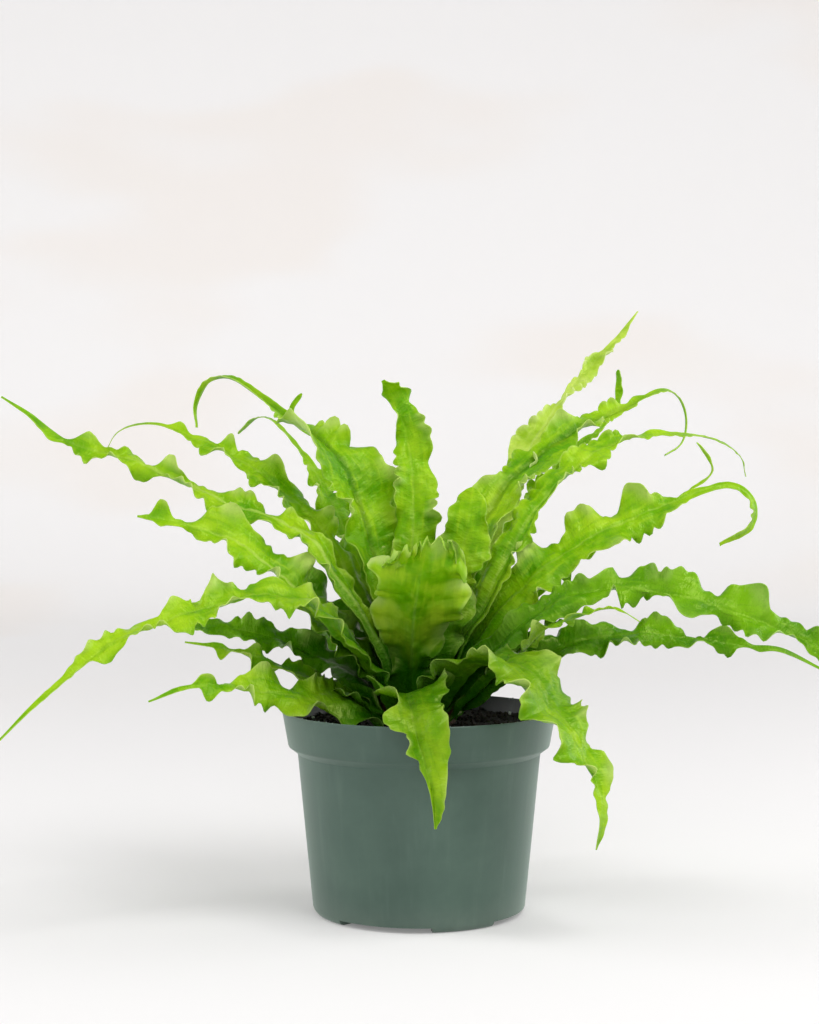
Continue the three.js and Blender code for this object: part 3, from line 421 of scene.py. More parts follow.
def leafMaterial(look, ribLook):
    mat, place = newMaterial(look["name"] + ribLook["name"])
    blade, share = [addNode(mat, "ShaderNodeSeparateXYZ", {
        0: addNode(mat, "ShaderNodeUVMap", uv_map=name).outputs[0]}) for name in ("bladeMap", "bladeShare")]
    side, along = blade.outputs[0], blade.outputs[1]  # centimetres from the midrib and from the base
    aside = mathNode(mat, "ABSOLUTE", side)
    margin = mathNode(mat, "ABSOLUTE", share.outputs[0])
    mottle = noiseNode(mat, place, 30.0, 2.0, 0.5)
    patch = noiseNode(mat, place, 120.0, 3.0, 0.6)
    grain = noiseNode(mat, place, 1100.0, 2.0, 0.6)

    def stretched(*weights):
        parts = [mathNode(mat, "MULTIPLY", *pair) for pair in zip((side, along, mottle), weights)]
        vector = addNode(mat, "ShaderNodeCombineXYZ", dict(enumerate(parts))).outputs[0]
        return noiseNode(mat, vector, 1.0, 3.0, 0.6)

    streak, ripple = stretched(3.2, 0.5, 2.0), stretched(1.1, 3.6)  # lengthways and crossways
    fold = addNode(mat, "ShaderNodeAttribute", attribute_name="fold").outputs["Fac"]
    deep, bright = look["deep"], look["bright"]
    color = rampNode(mat, mottle, [(0.36, deep), (0.5, look["middle"]), (0.66, bright)])
    color = washColors(
        mat, color, (patch, 0.42, 0.74, 0.4, bright), (streak, 0.5, 0.7, 0.55, bright),
        (streak, 0.5, 0.32, 0.4, deep), (ripple, 0.52, 0.72, 0.28, bright),
        # the margins grow paler towards their edges: partly the blade's own paler rim, partly painted
        # highlight on the crisped edges
        (margin, 0.55, 1.0, 0.45, bright), (margin, 0.9, 1.0, 0.65, look["rib"]),
        (fold, 0.15, 1.0, 0.75, look["ridge"]),  # painted highlight: the ridges of the ruffles are paler
        (fold, -0.1, -1.0, 0.6, deep))  # and painted shade: the valleys between them are deeper
    # side veins leave the midrib at a slant
    slant = weighedSum(mat, (along, 1.0), (aside, -0.42), (patch, 0.3))
    wave = mathNode(mat, "SINE", mathNode(mat, "MULTIPLY", slant, 2 * math.pi / look["veinStep"]))
    vein = rangeNode(mat, wave, 0.4, 1.0)
    color = mixColors(mat, mathNode(mat, "MULTIPLY", vein, look["veinShow"]), color, look["rib"])
    rib = rangeNode(mat, aside, 0.3 * ribLook["width"], ribLook["width"], 1.0, 0.0)
    ribAlong = rangeNode(mat, share.outputs[1], 0.5, 0.95, ribLook["show"], 0.0)
    rib = mathNode(mat, "MULTIPLY", rib, ribAlong)
    color = mixColors(mat, rib, color, look[ribLook["color"]])
    # painted shade: the blades darken towards the crown
    heart = addNode(mat, "ShaderNodeVectorMath", {0: place, 1: look["heart"]}, operation="DISTANCE")
    near = weighedSum(mat, (heart.outputs["Value"], 1.0), (patch, 0.02))
    shade = rangeNode(mat, near, look["shadeFrom"], look["shadeTo"], look["shadeShow"], 0.0)
    color = mixColors(mat, shade, color, look["base"])
    color = washColors(mat, color, (grain, 0.4, 0.8, 0.12, deep))
    height = weighedSum(mat, (vein, 0.12), (patch, 1.2), (ripple, 1.2), (streak, 0.8))
    bump = bumpNode(mat, height, look["bump"], 0.001)
    rough = rangeNode(mat, patch, 0.3, 0.7, look["rough"], look["rough"] + 0.14)
    skin = skinNode(mat, color, rough, look["gloss"], {"Specular Tint": look["shine"], "Normal": bump})
    # the painted shade also keeps the translucent colour deep near the crown
    glow = mixColors(mat, mathNode(mat, "MULTIPLY_ADD", shade, -0.45, 0.45), color, look["glow"])
    through = addNode(mat, "ShaderNodeBsdfTranslucent", {"Color": glow, "Normal": bump}).outputs[0]
    both = addNode(mat, "ShaderNodeMixShader", {0: look["thin"], 1: skin, 2: through})
    return closeMaterial(mat, both.outputs[0])


# What all leaves share, and what each kind changes. The heart is the middle of the dark crown, in metres,
# where the painted shade is deepest; each kind's base colour is that painted shade, and its ridge colour the
# painted highlight on the ruffles' ridges
leafShared = {
    "veinStep": 0.34, "veinShow": 0.035, "gloss": 0.55, "shine": rgb(244, 255, 145), "bump": 0.55,
    "shadeFrom": 0.045, "shadeTo": 0.145, "shadeShow": 0.94, "heart": (0.0, 0.0, 0.1),
}
leafLooks = {
    "leaf": {
        "name": "frond green", "deep": rgb(92, 162, 0), "middle": rgb(128, 186, 0),
        "bright": rgb(170, 210, 26), "rib": rgb(188, 216, 96), "base": rgb(14, 88, 0),
        "ridge": rgb(206, 226, 128), "glow": rgb(186, 226, 10), "rough": 0.28, "thin": 0.34,
    },
    "leaf_pale": {
        "name": "young frond green", "deep": rgb(150, 190, 30), "middle": rgb(182, 212, 66),
        "bright": rgb(208, 228, 110), "rib": rgb(220, 234, 160), "base": rgb(34, 98, 0),
        "ridge": rgb(228, 238, 176), "glow": rgb(212, 234, 90), "rough": 0.3, "thin": 0.42, "bump": 0.5,
    },
    "leaf_young": {
        "slot": "leaf", "name": "unfolding frond green", "deep": rgb(98, 168, 0),
        "middle": rgb(134, 192, 2), "bright": rgb(190, 220, 44), "rib": rgb(204, 226, 120),
        "base": rgb(16, 90, 0), "ridge": rgb(214, 230, 144), "glow": rgb(176, 228, 10), "rough": 0.28,
        "thin": 0.45, "veinShow": 0.02, "bump": 0.25, "shadeTo": 0.115, "shadeShow": 0.97,
    },
    # a darker copy of the frond green for fronds that lie in shade: painted shade
    "leaf_deep": {
        "name": "shaded frond green", "deep": rgb(72, 138, 0), "middle": rgb(96, 158, 0),
        "bright": rgb(122, 180, 8), "rib": rgb(154, 198, 60), "base": rgb(10, 80, 0),
        "ridge": rgb(162, 202, 90), "glow": rgb(128, 192, 0), "rough": 0.27, "thin": 0.28,
    },
}
ribLooks = {
    "faint": {"name": "", "width": 0.13, "show": 0.22, "color": "rib"},
    "pale": {"name": ", pale midrib", "width": 0.17, "show": 0.7, "color": "rib"},
    "dark": {"name": ", dark midrib", "width": 0.42, "show": 0.42, "color": "base"},
}
leafMaterials = {}


def midribCurve(frond):
    # a smooth curve through the root and the midrib's points, measured along its length
    turn = math.radians(frond["turn"])
    x, y, z = frond["root"]
    root = (x * math.cos(turn) + y * math.sin(turn), y * math.cos(turn) - x * math.sin(turn), z)
    stops = np.array([root, *frond["midrib"]], float)
    ends = np.vstack([2 * stops[0] - stops[1], stops, 2 * stops[-1] - stops[-2]])

    def placeAt(u):
        k = np.minimum(u.astype(int), len(stops) - 2)
        w = (u - k)[:, None]
        before, start, end, after = ends[k], ends[k + 1], ends[k + 2], ends[k + 3]
        leave, arrive = (end - before) / 2, (after - start) / 2
        square = 3 * (end - start) - 2 * leave - arrive
        cube = 2 * (start - end) + leave + arrive
        along = leave + 2 * square * w + 3 * cube * w ** 2
        place = start + leave * w + square * w ** 2 + cube * w ** 3
        return place, along / np.linalg.norm(along, axis=1)[:, None]

    fine = np.linspace(0, len(stops) - 1, 80 * (len(stops) - 1) + 1)
    steps = np.linalg.norm(np.diff(placeAt(fine)[0], axis=0), axis=1)
    run = np.concatenate([[0], np.cumsum(steps)])
    return run[-1], lambda shares: placeAt(np.interp(shares * run[-1], run, fine))


def bladeHalf(frond, t, length):
    # half width: a narrow stipe, the blade, then a thin tail or a round end
    opens, full, narrows, ends = [at / 100 for at in frond.get("shape", bladeSettings["shape"])]
    tail, roundEnd = frond.get("tail", 0.7), frond.get("round", 5)
    blade = smoothStep(opens, full, t) * (1 - smoothStep(narrows, ends, t))
    bare = between(bladeSettings["stipeHalf"], tail, smoothStep(full, narrows, t))
    tip = np.clip(t - 1 + roundEnd / length, 0, None) * length / roundEnd
    foot = frond["half"] * frond.get("foot", bladeSettings["foot"])
    foot = foot * smoothStep(0.02, 0.1, t) * (1 - smoothStep(full, full + 0.1, t))
    half = np.maximum(between(bare, frond["half"], blade), foot) * np.sqrt(np.clip(1 - tip * tip, 0, None))
    return np.maximum(bladeSettings["tipHalf"], half)


def wander(x, seed):
    # an uneven wave between about -1 and 1
    slow, quick = np.sin(x * 1.9 + seed * 2.3), np.sin(x * 3.7 + seed * 5.1)
    return 0.5 * (slow + 0.6 * quick + 0.4 * np.sin(x * 7.9 + seed))


def marginWidth(frond, side, t, half):
    # Where a frond lists the peaks and notches of a margin, they take over from its plain half width.
    # Gives the half width, how far the list has taken over, how many stops are passed, and the place
    # along the blade where the list starts, or t before it.
    stops = frond.get(side)
    if not stops:
        return half, 0 * t, 0 * t, t
    at, width = [np.array(values, float) for values in zip(*stops)]
    at /= 100
    k = np.clip(np.searchsorted(at, t) - 1, 0, len(at) - 2)
    share = smoothStep(at[k], at[k + 1], t)
    traced = smoothStep(at[0] - 0.07, at[0], t)
    passed = np.where(t < at[0], 0, k + share)
    listed = between(width[k], width[k + 1], share)
    return between(half, listed, traced), traced, passed, np.minimum(t, at[0])


def layBlade(frond, across, t):
    # where the points of a flat grid go: across runs from -1 to 1 over the blade, t from 0 to 1 along it
    b = bladeSettings
    length, midrib = midribCurve(frond)
    levels, rowOf = np.unique(np.round(t, 7), return_inverse=True)
    centres, alongs = midrib(levels)
    rolls = np.radians(between(*frond.get("roll", b["roll"]), levels))[:, None]
    sides = np.array([0, 1, 0]) - alongs * alongs[:, 1:2]
    sides /= np.linalg.norm(sides, axis=1)[:, None]
    sides = sides * np.cos(rolls) + np.cross(alongs, sides) * np.sin(rolls)
    ups = np.cross(alongs, sides)
    centre, side, up = centres[rowOf], sides[rowOf], ups[rowOf]

    seed = frond["seed"]
    away = np.abs(across)
    second = across < 0
    here = length * t
    plain = bladeHalf(frond, t, length)
    margins = [marginWidth(frond, edge, t, plain) for edge in ("left", "right")]
    half, traced, stopsPassed, waved = [np.where(second, right, left) for left, right in zip(*margins)]
    middle = smoothStep(0.05, 0.3, away)  # both sides meet at one width along the midrib
    half = between((margins[0][0] + margins[1][0]) / 2, half, middle)
    skirt = np.where(second, *reversed(frond.get("skirt", (0, 0))))
    half = half + skirt * smoothStep(*b["skirtRise"], t) * (1 - smoothStep(*b["skirtFall"], t))
    opened = smoothStep(0, 1, np.minimum(1, plain / frond["half"] + 0.35 * traced * smoothStep(1, 9, half)))

    # The ripples grow along the blade. Lobes come in uneven steps, and those of a listed margin fold
    # opposite ways in turn
    wild = opened * between(np.where(skirt > 0, 0.7, 0.12), 1, smoothStep(0.12, 0.42, t))
    turns = length * waved / b["wave"] + 0.35 * np.sin(7 * waved + seed)
    drift = 1.1 * wander(length * waved / 27 + np.where(second, 40, 0), seed) * away
    phase = 2 * math.pi * (turns + 0.37 * seed + np.where(second, 0.31, 0)) + drift
    phase += math.pi / 2 * stopsPassed
    strength = 1 + 0.75 * wander(here / 19 + np.where(second, 70, 20), seed)
    if "left" in frond:
        strength = strength * between(0.5, 1, traced)
    small = 2 * math.pi * (here / b["frillWave"] + 0.61 * seed + np.where(second, 0.47, 0))
    small += 1.5 * wander(here / 15 + np.where(second, 90, 10), seed)
    patches = np.clip(0.55 + 1.3 * wander(here / 23 + np.where(second, 15, 60), seed), 0.1, 1.3)
    cup = np.radians(frond.get("cup", b["cup"])) * smoothStep(0, 0.2, t)

    # the outer part of the blade curls over, up at one lobe and down at the next
    start = b["curlFrom"]
    outer = np.clip((away - start) / (1 - start), 0, 1)
    curl = np.radians(b["curl"]) * min(1, b["curlHalf"] / frond["half"])
    curl = curl * np.sin(phase + 0.5) * strength * wild + 1e-6
    flat = np.minimum(away, start) + (1 - start) * outer * np.sinc(curl * outer / math.pi)
    raised = (1 - start) * curl * outer ** 2 / 2 * np.sinc(curl * outer / (2 * math.pi)) ** 2
    lobes = 1 + b["lobe"] * (1 - 0.75 * traced) * wild * np.sin(phase + 1.4) * strength
    lobes += b["scallop"] / np.maximum(half, 3) * wild * away * np.sin(small + 2) * patches
    kept = between(1, start + (1 - start) * np.sinc(curl / math.pi), traced)  # listed widths are kept
    reach = half * np.sign(across) * flat / kept * np.maximum(0.15, lobes)

    # how far each point is lifted off the blade's plane: lobes, frills, crinkles, long folds, the midrib
    ruffle = 1.15 * frond.get("ruffle", b["ruffle"])
    lift = ruffle * wild * away ** 1.4 * np.sin(phase) * strength + half * raised * 0.6
    lift += b["frill"] * wild * away ** 3 * np.sin(small) * patches
    lift += b["crinkle"] * wild * np.sin(here / 2.1 + 2 * wander(here / 9, seed)) * np.sin(
        reach / 1.7 + seed) * (1 - 0.5 * away)
    lift += 0.8 * opened * np.sin(2 * math.pi * here / 37 + seed) * (1 - away)
    lift += b["fold"] * np.sin(across * 5 + seed) * opened * (1 - smoothStep(0.25, 0.6, t))
    gutter = np.exp(-(reach / b["ribWidth"]) ** 2)
    lift -= b["groove"] * gutter * opened
    if "crest" in frond:  # the blade's end is a ragged crest instead of a tip
        at, rise = [np.array(values, float) for values in zip(*frond["crest"])]
        knobs = 24 * across + 2.4 * np.sin(6 * across + 1) + seed
        nearEnd = smoothStep(0.86, 1, t)
        crest = np.interp(across, at, rise) * smoothStep(0.7, 1, t)
        crest += 1.5 * np.sin(knobs) * nearEnd
        centre = centre + alongs[rowOf] * crest[:, None]
        lift += 3.2 * wander(2.6 * across, seed + 1) * smoothStep(0.8, 1, t)
        lift += 2.4 * np.sin(knobs + 1.4) * nearEnd
    places = centre + side * (reach * np.cos(cup))[:, None]
    places += up * (np.abs(reach) * np.sin(cup) + lift)[:, None]
    turn = math.radians(frond["turn"])
    x, y = places[:, 0].copy(), places[:, 1].copy()
    places[:, 0] = x * math.cos(turn) - y * math.sin(turn)
    places[:, 1] = x * math.sin(turn) + y * math.cos(turn)
    return places, reach, here, half, lift, gutter


def makeFrond(name, frond):
    b = bladeSettings
    rows = math.ceil(midribCurve(frond)[0] / b["rowStep"])
    clearSelection()
    bpy.ops.mesh.primitive_grid_add(x_subdivisions=b["columns"], y_subdivisions=rows, size=2)
    piece = bpy.context.object
    piece.name = name + "_blade"
    grid = points(piece)
    across = -grid[:, 0]
    t = np.clip((grid[:, 1] + 1) / 2, 0, 1)
    places, reach, here, half, lift, gutter = layBlade(frond, across, t)
    movePoints(piece, places / 1000)

    mesh = piece.data
    mesh.uv_layers[0].name = "bladeMap"
    mesh.uv_layers.new(name="bladeShare")
    corner = np.zeros(len(mesh.loops), np.int32)
    mesh.loops.foreach_get("vertex_index", corner)
    inCentimetres = np.stack([reach / 10, here / 10], 1)[corner]
    # a crest's end counts as margin, so it takes the paler rim and painted highlight of the margins
    rimmed = np.maximum(np.abs(across), smoothStep(0.78, 1, t)) if "crest" in frond else across
    asShares = np.stack([rimmed, t], 1)[corner]
    mesh.uv_layers["bladeMap"].data.foreach_set("uv", inCentimetres.astype(np.float32).ravel())
    mesh.uv_layers["bladeShare"].data.foreach_set("uv", asShares.astype(np.float32).ravel())

    # the lift is kept as fold, for the painted highlight on the ruffles' ridges and the painted shade in
    # their valleys
    folds = mesh.attributes.new("fold", "FLOAT", "POINT")
    folds.data.foreach_set("value", (lift / 6).astype(np.float32))

    edge = between(b["stipeThick"], b["edgeThick"], smoothStep(0, 0.12, t))
    ridge = between(b["stipeThick"], b["ribThick"], smoothStep(0, 0.7, t))
    thick = between(edge, ridge, gutter * smoothStep(1, 4, half)) / b["stipeThick"]
    group = piece.vertex_groups.new(name="thickness")
    for index, share in enumerate(thick):
        group.add([index], float(share), "REPLACE")
    solid = piece.modifiers.new("leaf thickness", "SOLIDIFY")
    solid.thickness = b["stipeThick"] / 1000
    solid.offset = 0
    solid.vertex_group = "thickness"
    applyModifiers(piece)
    bpy.ops.object.shade_smooth_by_angle(angle=math.radians(55))
    look, rib = frond.get("look", "leaf"), frond.get("rib", "faint")
    if (look, rib) not in leafMaterials:
        leafMaterials[look, rib] = leafMaterial({**leafShared, **leafLooks[look]}, ribLooks[rib])
    piece.data.materials.append(leafMaterials[look, rib])
    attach(piece, "root")
    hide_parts(name)


for frondName, frond in fronds.items():
    makeFrond(frondName, frond)
print("fronds ready:", len(fronds))

# Pot: one thin moulded wall with a stepped rim, feet and drain notches
potSettings = {
    "height": 114, "rim": 77.5, "rimFoot": 74, "rimDepth": 20, "rimSlope": 3.5, "body": 68.7, "base": 60,
    "wall": 1.3, "floor": 4.9, "sides": 160,
    "notches": 4, "notchAngle": 54, "footTurn": -101, "notchRise": 3, "notchInner": 38,
    "drainWidth": 9, "drainLength": 11,
    "wallDark": rgb(62, 84, 74), "wallLight": rgb(72, 94, 83),
    # the inside colours are a darker copy of the wall's: painted shade inside the pot
    "shadedInsideDark": rgb(7, 12, 11), "shadedInsideLight": rgb(14, 22, 20),
    "streak": rgb(112, 134, 122), "speck": rgb(52, 70, 60), "dust": rgb(130, 140, 130),
    "sheen": rgb(220, 235, 226), "sheenWeight": 0.34,
}


def potMaterial(name, dark, light):
    p = potSettings
    mat, place = newMaterial(name)
    split = addNode(mat, "ShaderNodeSeparateXYZ", {0: place})
    cloud = noiseNode(mat, place, 24.0, 4.0, 0.6)
    speck = noiseNode(mat, place, 1500.0, 2.0, 0.6)
    stretch = addNode(mat, "ShaderNodeMapping", {"Vector": place, "Scale": (160.0, 160.0, 7.0)})
    streak = noiseNode(mat, stretch.outputs[0], 1.0, 4.0, 0.6)
    color = rampNode(mat, cloud, [(0.35, dark), (0.65, light)])
    color = washColors(
        mat, color, (streak, 0.5, 0.8, 0.12, p["streak"]), (speck, 0.6, 0.8, 0.25, p["speck"]))
    dust = mathNode(mat, "MULTIPLY", rangeNode(mat, split.outputs[2], 0.02, 0.0, 0.0, 0.3), cloud)
    color = mixColors(mat, dust, color, p["dust"])
    bump = bumpNode(mat, weighedSum(mat, (speck, 0.5), (streak, 1.0)), 0.16, 0.0004)
    rough = rangeNode(mat, cloud, 0.3, 0.7, 0.46, 0.56)
    return closeMaterial(mat, skinNode(mat, color, rough, 0.35, {
        "Normal": bump, "Sheen Weight": p["sheenWeight"], "Sheen Roughness": 0.4, "Sheen Tint": p["sheen"]}))


def spinProfile(name, profile, steps, angle=360.0, start=0.0):
    # a circle's corners are re-laid as the profile, a closed loop of [radius, height], and spun about +Z
    clearSelection()
    bpy.ops.mesh.primitive_circle_add(
        vertices=len(profile), radius=1, fill_type="NGON" if angle < 360 else "NOTHING")
    piece = bpy.context.object
    piece.name = name
    turn = math.radians(start)
    places = [(r / 1000 * math.cos(turn), r / 1000 * math.sin(turn), z / 1000) for r, z in profile]
    movePoints(piece, places)
    bpy.ops.object.mode_set(mode="EDIT")
    bpy.ops.mesh.select_all(action="SELECT")
    bpy.ops.mesh.spin(steps=steps, angle=math.radians(angle), center=(0, 0, 0), axis=(0, 0, 1))
    bpy.ops.mesh.select_all(action="SELECT")
    bpy.ops.mesh.remove_doubles(threshold=0.00001)
    bpy.ops.mesh.normals_make_consistent(inside=False)
    bpy.ops.object.mode_set(mode="OBJECT")
    return piece


def makePot():
    p = potSettings
    rimFoot = p["height"] - p["rimDepth"]
    bodyTop = rimFoot - p["rimSlope"]
    base, body, foot, rim, top = p["base"], p["body"], p["rimFoot"], p["rim"], p["height"]
    outside = [(base - 7, 0), (base - 3.2, 0), (base - 1.6, 0.5), (base - 0.6, 1.6), (base + 0.2, 3.6),
               (between(base, body, 0.5), bodyTop / 2),
               (body - 0.1, bodyTop - 2), (body + 0.15, bodyTop - 0.4), (body + 1.0, bodyTop + 0.5),
               (foot - 1.2, rimFoot - 0.6), (foot - 0.3, rimFoot), (foot + 0.1, rimFoot + 0.8),
               (rim - 0.35, top - 2.2), (rim, top - 1.1), (rim - 0.05, top - 0.5), (rim - 0.4, top - 0.05)]
    inside = [(rim - 0.9, top - 0.05), (rim - 1.2, top - 0.5), (foot - p["wall"], rimFoot + p["wall"]),
              (body - p["wall"], bodyTop + p["wall"]), (base - p["wall"], 7), (base - 4, p["floor"]),
              (0, p["floor"]), (0, 1.2), (20, 0)]
    pot = spinProfile("pot_wall", outside + inside, p["sides"])
    for k in range(p["notches"]):
        middle = p["footTurn"] + (k + 0.5) * 360 / p["notches"]
        square = [(p["notchInner"], -5), (90, -5), (90, p["notchRise"]), (p["notchInner"], p["notchRise"])]
        cutters = [spinProfile("notch", square, 10, p["notchAngle"], middle - p["notchAngle"] / 2)]
        for end in (-1, 1):
            turn = math.radians(middle + end * (p["notchAngle"] / 2 - 5))
            out = (p["base"] - p["drainLength"] / 2 - 5) / 1000
            clearSelection()
            bpy.ops.mesh.primitive_cube_add(
                size=1, location=(out * math.cos(turn), out * math.sin(turn), 0.003), rotation=(0, 0, turn),
                scale=(p["drainLength"] / 1000, p["drainWidth"] / 1000, 0.008))
            bpy.ops.object.transform_apply(location=True, rotation=True, scale=True)
            cutters.append(bpy.context.object)
        for cutter in cutters:
            cut = pot.modifiers.new("notch", "BOOLEAN")
            cut.operation = "DIFFERENCE"
            cut.object = cutter
            cut.solver = "EXACT"
            applyModifiers(pot)
            bpy.data.objects.remove(cutter)
    pickOnly(pot)
    bpy.ops.object.shade_smooth_by_angle(angle=math.radians(32))
    pot.data.materials.append(potMaterial("grey green moulded plastic", p["wallDark"], p["wallLight"]))
    pot.data.materials.append(potMaterial("plastic inside with painted shade", p["shadedInsideDark"], p["shadedInsideLight"]))
    # faces on the inside of the wall, above the floor, take the darker copy: painted shade inside the pot
    for face in pot.data.polygons:
        inward = face.center.x * face.normal.x + face.center.y * face.normal.y < 0
        face.material_index = int(inward and face.center.z > p["floor"] / 1000)
    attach(pot, "root")
    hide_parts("pot")


makePot()
print("pot ready")

# Soil, with loose crumbs and a little pale grit
soilSettings = {
    "top": 106.5, "swell": 2.5, "rings": 64, "steps": 180, "depth": 9, "seed": 7, "reach": 74.5,
    "dark": rgb(7, 7, 3), "light": rgb(24, 20, 12),
}


def soilHeight(x, y):
    ripple = math.sin(x / 7 + 1) * math.cos(y / 6) + math.sin((x + 2 * y) / 11)
    slope = float(smoothStep(35, 74, math.hypot(x, y)))
    return soilSettings["top"] + soilSettings["swell"] * (0.25 * ripple - 0.6 * slope)


def soilMaterial(name, dark, light, rough):
    mat, place = newMaterial(name)
    clod = noiseNode(mat, place, 260.0, 4.0, 0.65)
    grain = noiseNode(mat, place, 1600.0, 3.0, 0.7)
    color = rampNode(mat, clod, [(0.35, dark), (0.7, light)])
    color = washColors(mat, color, (grain, 0.62, 0.8, 0.5, light))
    bump = bumpNode(mat, weighedSum(mat, (clod, 1.0), (grain, 0.5)), 0.9, 0.0012)
    return closeMaterial(mat, skinNode(mat, color, rough, 0.25, {"Normal": bump}))


def makeSoil():
    s = soilSettings
    edge = potSettings["rim"] - potSettings["wall"] - 0.9
    ringRadii = np.linspace(0, edge, s["rings"])
    profile = [(r, 0) for r in ringRadii] + [(edge - 1.6, -s["depth"]), (0, -s["depth"])]
    profile = [(r, z + s["top"]) for r, z in profile]
    soil = spinProfile("soil_surface", profile, s["steps"])
    places = points(soil) * 1000
    for index, (x, y, z) in enumerate(places):
        if z >= s["top"] - 1:
            rough = noise.fractal(Vector((x, y, 3)) / 9, 1.0, 2.0, 4)
            rough += 0.5 * noise.noise(Vector((x, y, 8)) / 2.2)
            fade = 1 - float(smoothStep(edge - 5, edge, math.hypot(x, y)))
            places[index, 2] = soilHeight(x, y) + 0.9 * rough * fade
    movePoints(soil, places / 1000)
    pickOnly(soil)
    bpy.ops.object.shade_smooth()
    soil.data.materials.append(soilMaterial("dark potting soil", s["dark"], s["light"], 0.95))
    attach(soil, "root")
    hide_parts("soil")


def scatterCrumbs(name, setting):
    # one crumb is modelled, and copies of it with their own turn, size and place are joined
    picks = random.Random(soilSettings["seed"] + setting["count"])
    clearSelection()
    bpy.ops.mesh.primitive_ico_sphere_add(subdivisions=1, radius=1)
    crumb = bpy.context.object
    shape = points(crumb)
    shape *= np.array([[1 + 0.3 * picks.uniform(-1, 1)] for _ in shape])
    movePoints(crumb, shape)
    copies = []
    for _ in range(setting["count"]):
        x, y, z, size = setting["where"](picks, picks.uniform(*setting["sizes"]))
        copies.append(copyAt(
            crumb, (x / 1000, y / 1000, z / 1000), [picks.uniform(0, 6.28) for _ in range(3)],
            [size / 1000 * picks.uniform(0.6, 1.2) for _ in range(3)]))
    bpy.data.objects.remove(crumb)
    piece = joinCopies(copies)
    piece.name = name
    bpy.ops.object.shade_smooth_by_angle(angle=math.radians(40))
    piece.data.materials.append(
        soilMaterial(setting["name"], setting["dark"], setting["light"], setting["rough"]))
    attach(piece, "root")


def onSoil(picks, size):
    turn, out = picks.uniform(0, 2 * math.pi), soilSettings["reach"] * math.sqrt(picks.uniform(0.09, 1))
    x, y = out * math.cos(turn), out * math.sin(turn)
    return x, y, soilHeight(x, y) + 0.3 * size, size


def alongRim(picks, size):
    turn = picks.uniform(0, 2 * math.pi)
    out = potSettings["rim"] - potSettings["wall"] * picks.uniform(0.4, 1.3)
    z = potSettings["height"] - picks.uniform(0, 1) * 0.8
    return out * math.cos(turn), out * math.sin(turn), z, size


crumbSettings = {
    "soil_crumbs": {"name": "soil crumbs", "count": 620, "sizes": (0.5, 1.9), "where": onSoil, "rough": 0.95,
                    "dark": rgb(9, 8, 4), "light": rgb(38, 32, 20)},
    "soil_grit": {"name": "pale grit", "count": 26, "sizes": (0.5, 1.3), "where": onSoil, "rough": 0.8,
                  "dark": rgb(150, 160, 150), "light": rgb(200, 206, 198)},
    "rim_crumbs": {"name": "rim dust", "count": 90, "sizes": (0.25, 0.6), "where": alongRim, "rough": 0.85,
                   "dark": rgb(88, 104, 94), "light": rgb(140, 156, 146)},
}
makeSoil()
for crumbName, crumbSetting in crumbSettings.items():
    scatterCrumbs(crumbName, crumbSetting)
print("soil ready")

# Crown: the dark stump that the fronds grow from, covered with brown scales
crownSettings = {
    "radius": 21, "top": 119, "foot": 96, "scales": 560, "scaleLength": 10, "seed": 3,
    "dark": rgb(24, 17, 9), "light": rgb(84, 58, 34),
}


def crownMaterial():
    mat, place = newMaterial("scaly brown crown")
    fibre = noiseNode(mat, place, 700.0, 4.0, 0.7)
    color = rampNode(mat, fibre, [(0.35, crownSettings["dark"]), (0.7, crownSettings["light"])])
    bump = bumpNode(mat, fibre, 0.7, 0.001)
    return closeMaterial(mat, skinNode(mat, color, 0.85, 0.3, {"Normal": bump}))


def makeCrown():
    c = crownSettings
    clearSelection()
    bpy.ops.mesh.primitive_uv_sphere_add(segments=48, ring_count=24, radius=1)
    crown = bpy.context.object
    crown.name = "crown_scales"
    shape = points(crown)
    tall = c["top"] - c["foot"]
    bulge = np.array([1 + 0.06 * noise.noise(Vector(v) * 3) for v in shape])[:, None]
    shape = shape * bulge * np.array([c["radius"], c["radius"], tall / 2]) * 0.97
    shape[:, 2] += (c["top"] + c["foot"]) / 2
    movePoints(crown, shape / 1000)
    picks = random.Random(c["seed"])
    clearSelection()
    bpy.ops.mesh.primitive_cone_add(vertices=4, radius1=1, depth=2, location=(0, 0, 1))
    bpy.ops.object.transform_apply(location=True)
    scale = bpy.context.object
    copies = [crown]
    for _ in range(c["scales"]):
        turn, rise = picks.uniform(0, 2 * math.pi), picks.uniform(0.05, 1.45)
        out = Vector((math.cos(turn) * math.cos(rise), math.sin(turn) * math.cos(rise), math.sin(rise)))
        place = Vector((out.x * c["radius"], out.y * c["radius"], out.z * tall / 2)) * 0.93
        place.z += (c["top"] + c["foot"]) / 2
        lean = (out + Vector((0, 0, 1.2))).normalized()
        long = c["scaleLength"] * picks.uniform(0.5, 1.1) / 2000
        copies.append(copyAt(
            scale, place / 1000, lean.to_track_quat("Z", "X").to_euler(),
            (picks.uniform(0.5, 1.0) / 1000, picks.uniform(0.15, 0.3) / 1000, long)))
    bpy.data.objects.remove(scale)
    joinCopies(copies)
    bpy.ops.object.shade_smooth_by_angle(angle=math.radians(40))
    crown.data.materials.append(crownMaterial())
    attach(crown, "root")
    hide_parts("crown")


makeCrown()
print("crown ready")

# Studio: a pale floor that rises all round like a bowl, and soft light
studioSettings = {
    "size": 9, "parts": 120, "riseFrom": 2.2, "riseWidth": 1.9, "riseHeight": 2.6, "riseCurve": 2.2,
    "riseEnd": 1.2,
    "paper": rgb(235, 234, 234), "cloud": rgb(234, 230, 227),
    "nearPaper": rgb(203, 202, 202), "nearTo": (0.6, 3.2), "glow": 0.3,
    "roomColor": rgb(250, 250, 250), "roomLight": 0.4,
}


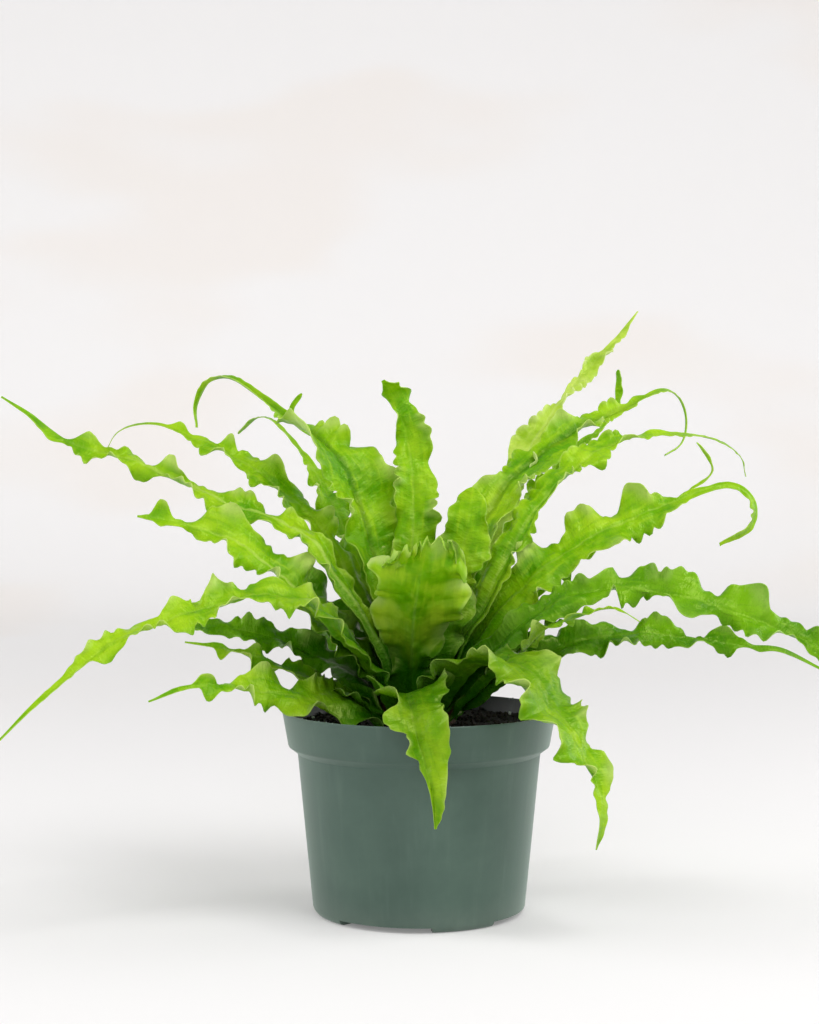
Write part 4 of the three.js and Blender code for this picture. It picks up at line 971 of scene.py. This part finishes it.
def paperMaterial():
    s = studioSettings
    mat, place = newMaterial("pale studio paper")
    slant = addNode(mat, "ShaderNodeMapping", {
        "Vector": place, "Rotation": (0.0, math.radians(35), 0.0), "Scale": (1.3, 1.3, 3.4)})
    cloud = noiseNode(mat, slant.outputs[0], 1.0, 2.0, 0.45)
    color = washColors(mat, s["paper"], (cloud, 0.5, 0.66, 1.0, s["cloud"]))
    far = addNode(mat, "ShaderNodeVectorMath", {0: place}, operation="LENGTH").outputs["Value"]
    color = mixColors(mat, rangeNode(mat, far, *s["nearTo"], 1.0, 0.0), color, s["nearPaper"])
    return closeMaterial(mat, skinNode(mat, color, 0.95, 0.1, {
        "Emission Color": color, "Emission Strength": s["glow"]}))


def makeFloor():
    s = studioSettings
    clearSelection()
    bpy.ops.mesh.primitive_grid_add(x_subdivisions=s["parts"], y_subdivisions=s["parts"], size=s["size"])
    floor = bpy.context.object
    floor.name = "studio_floor"
    sheet = points(floor)
    rise = (np.hypot(sheet[:, 0], sheet[:, 1]) - s["riseFrom"]) / s["riseWidth"]
    sheet[:, 2] = s["riseHeight"] * np.clip(rise, 0, s["riseEnd"]) ** s["riseCurve"]
    movePoints(floor, sheet)
    bpy.ops.object.shade_smooth()
    floor.data.materials.append(paperMaterial())


makeFloor()
world = bpy.data.worlds.new("studio room")
world.use_nodes = True
room = world.node_tree.nodes["Background"].inputs
room["Color"].default_value = studioSettings["roomColor"]
room["Strength"].default_value = studioSettings["roomLight"]
bpy.context.scene.world = world

lampAim = Vector((0, 0, 0.18))
lampSettings = {
    "key": {"place": (0.7, -0.9, 1.9), "size": 1.0, "watts": 27},
    "left": {"place": (-1.6, 0.2, 0.8), "size": 1.0, "watts": 12},
    "right": {"place": (1.6, 0.3, 0.8), "size": 1.0, "watts": 12},
    "fill": {"place": (-0.5, -2.4, 1.0), "size": 1.6, "watts": 12},
}
for lampName, lampSetting in lampSettings.items():
    clearSelection()
    bpy.ops.object.light_add(type="AREA", location=lampSetting["place"])
    lamp = bpy.context.object
    lamp.name = lampName + "_light"
    lamp.data.size = lampSetting["size"]
    lamp.data.energy = lampSetting["watts"]
    lamp.visible_camera = False
    towards = lampAim - Vector(lampSetting["place"])
    lamp.rotation_euler = towards.to_track_quat("-Z", "Y").to_euler()
print("studio ready")
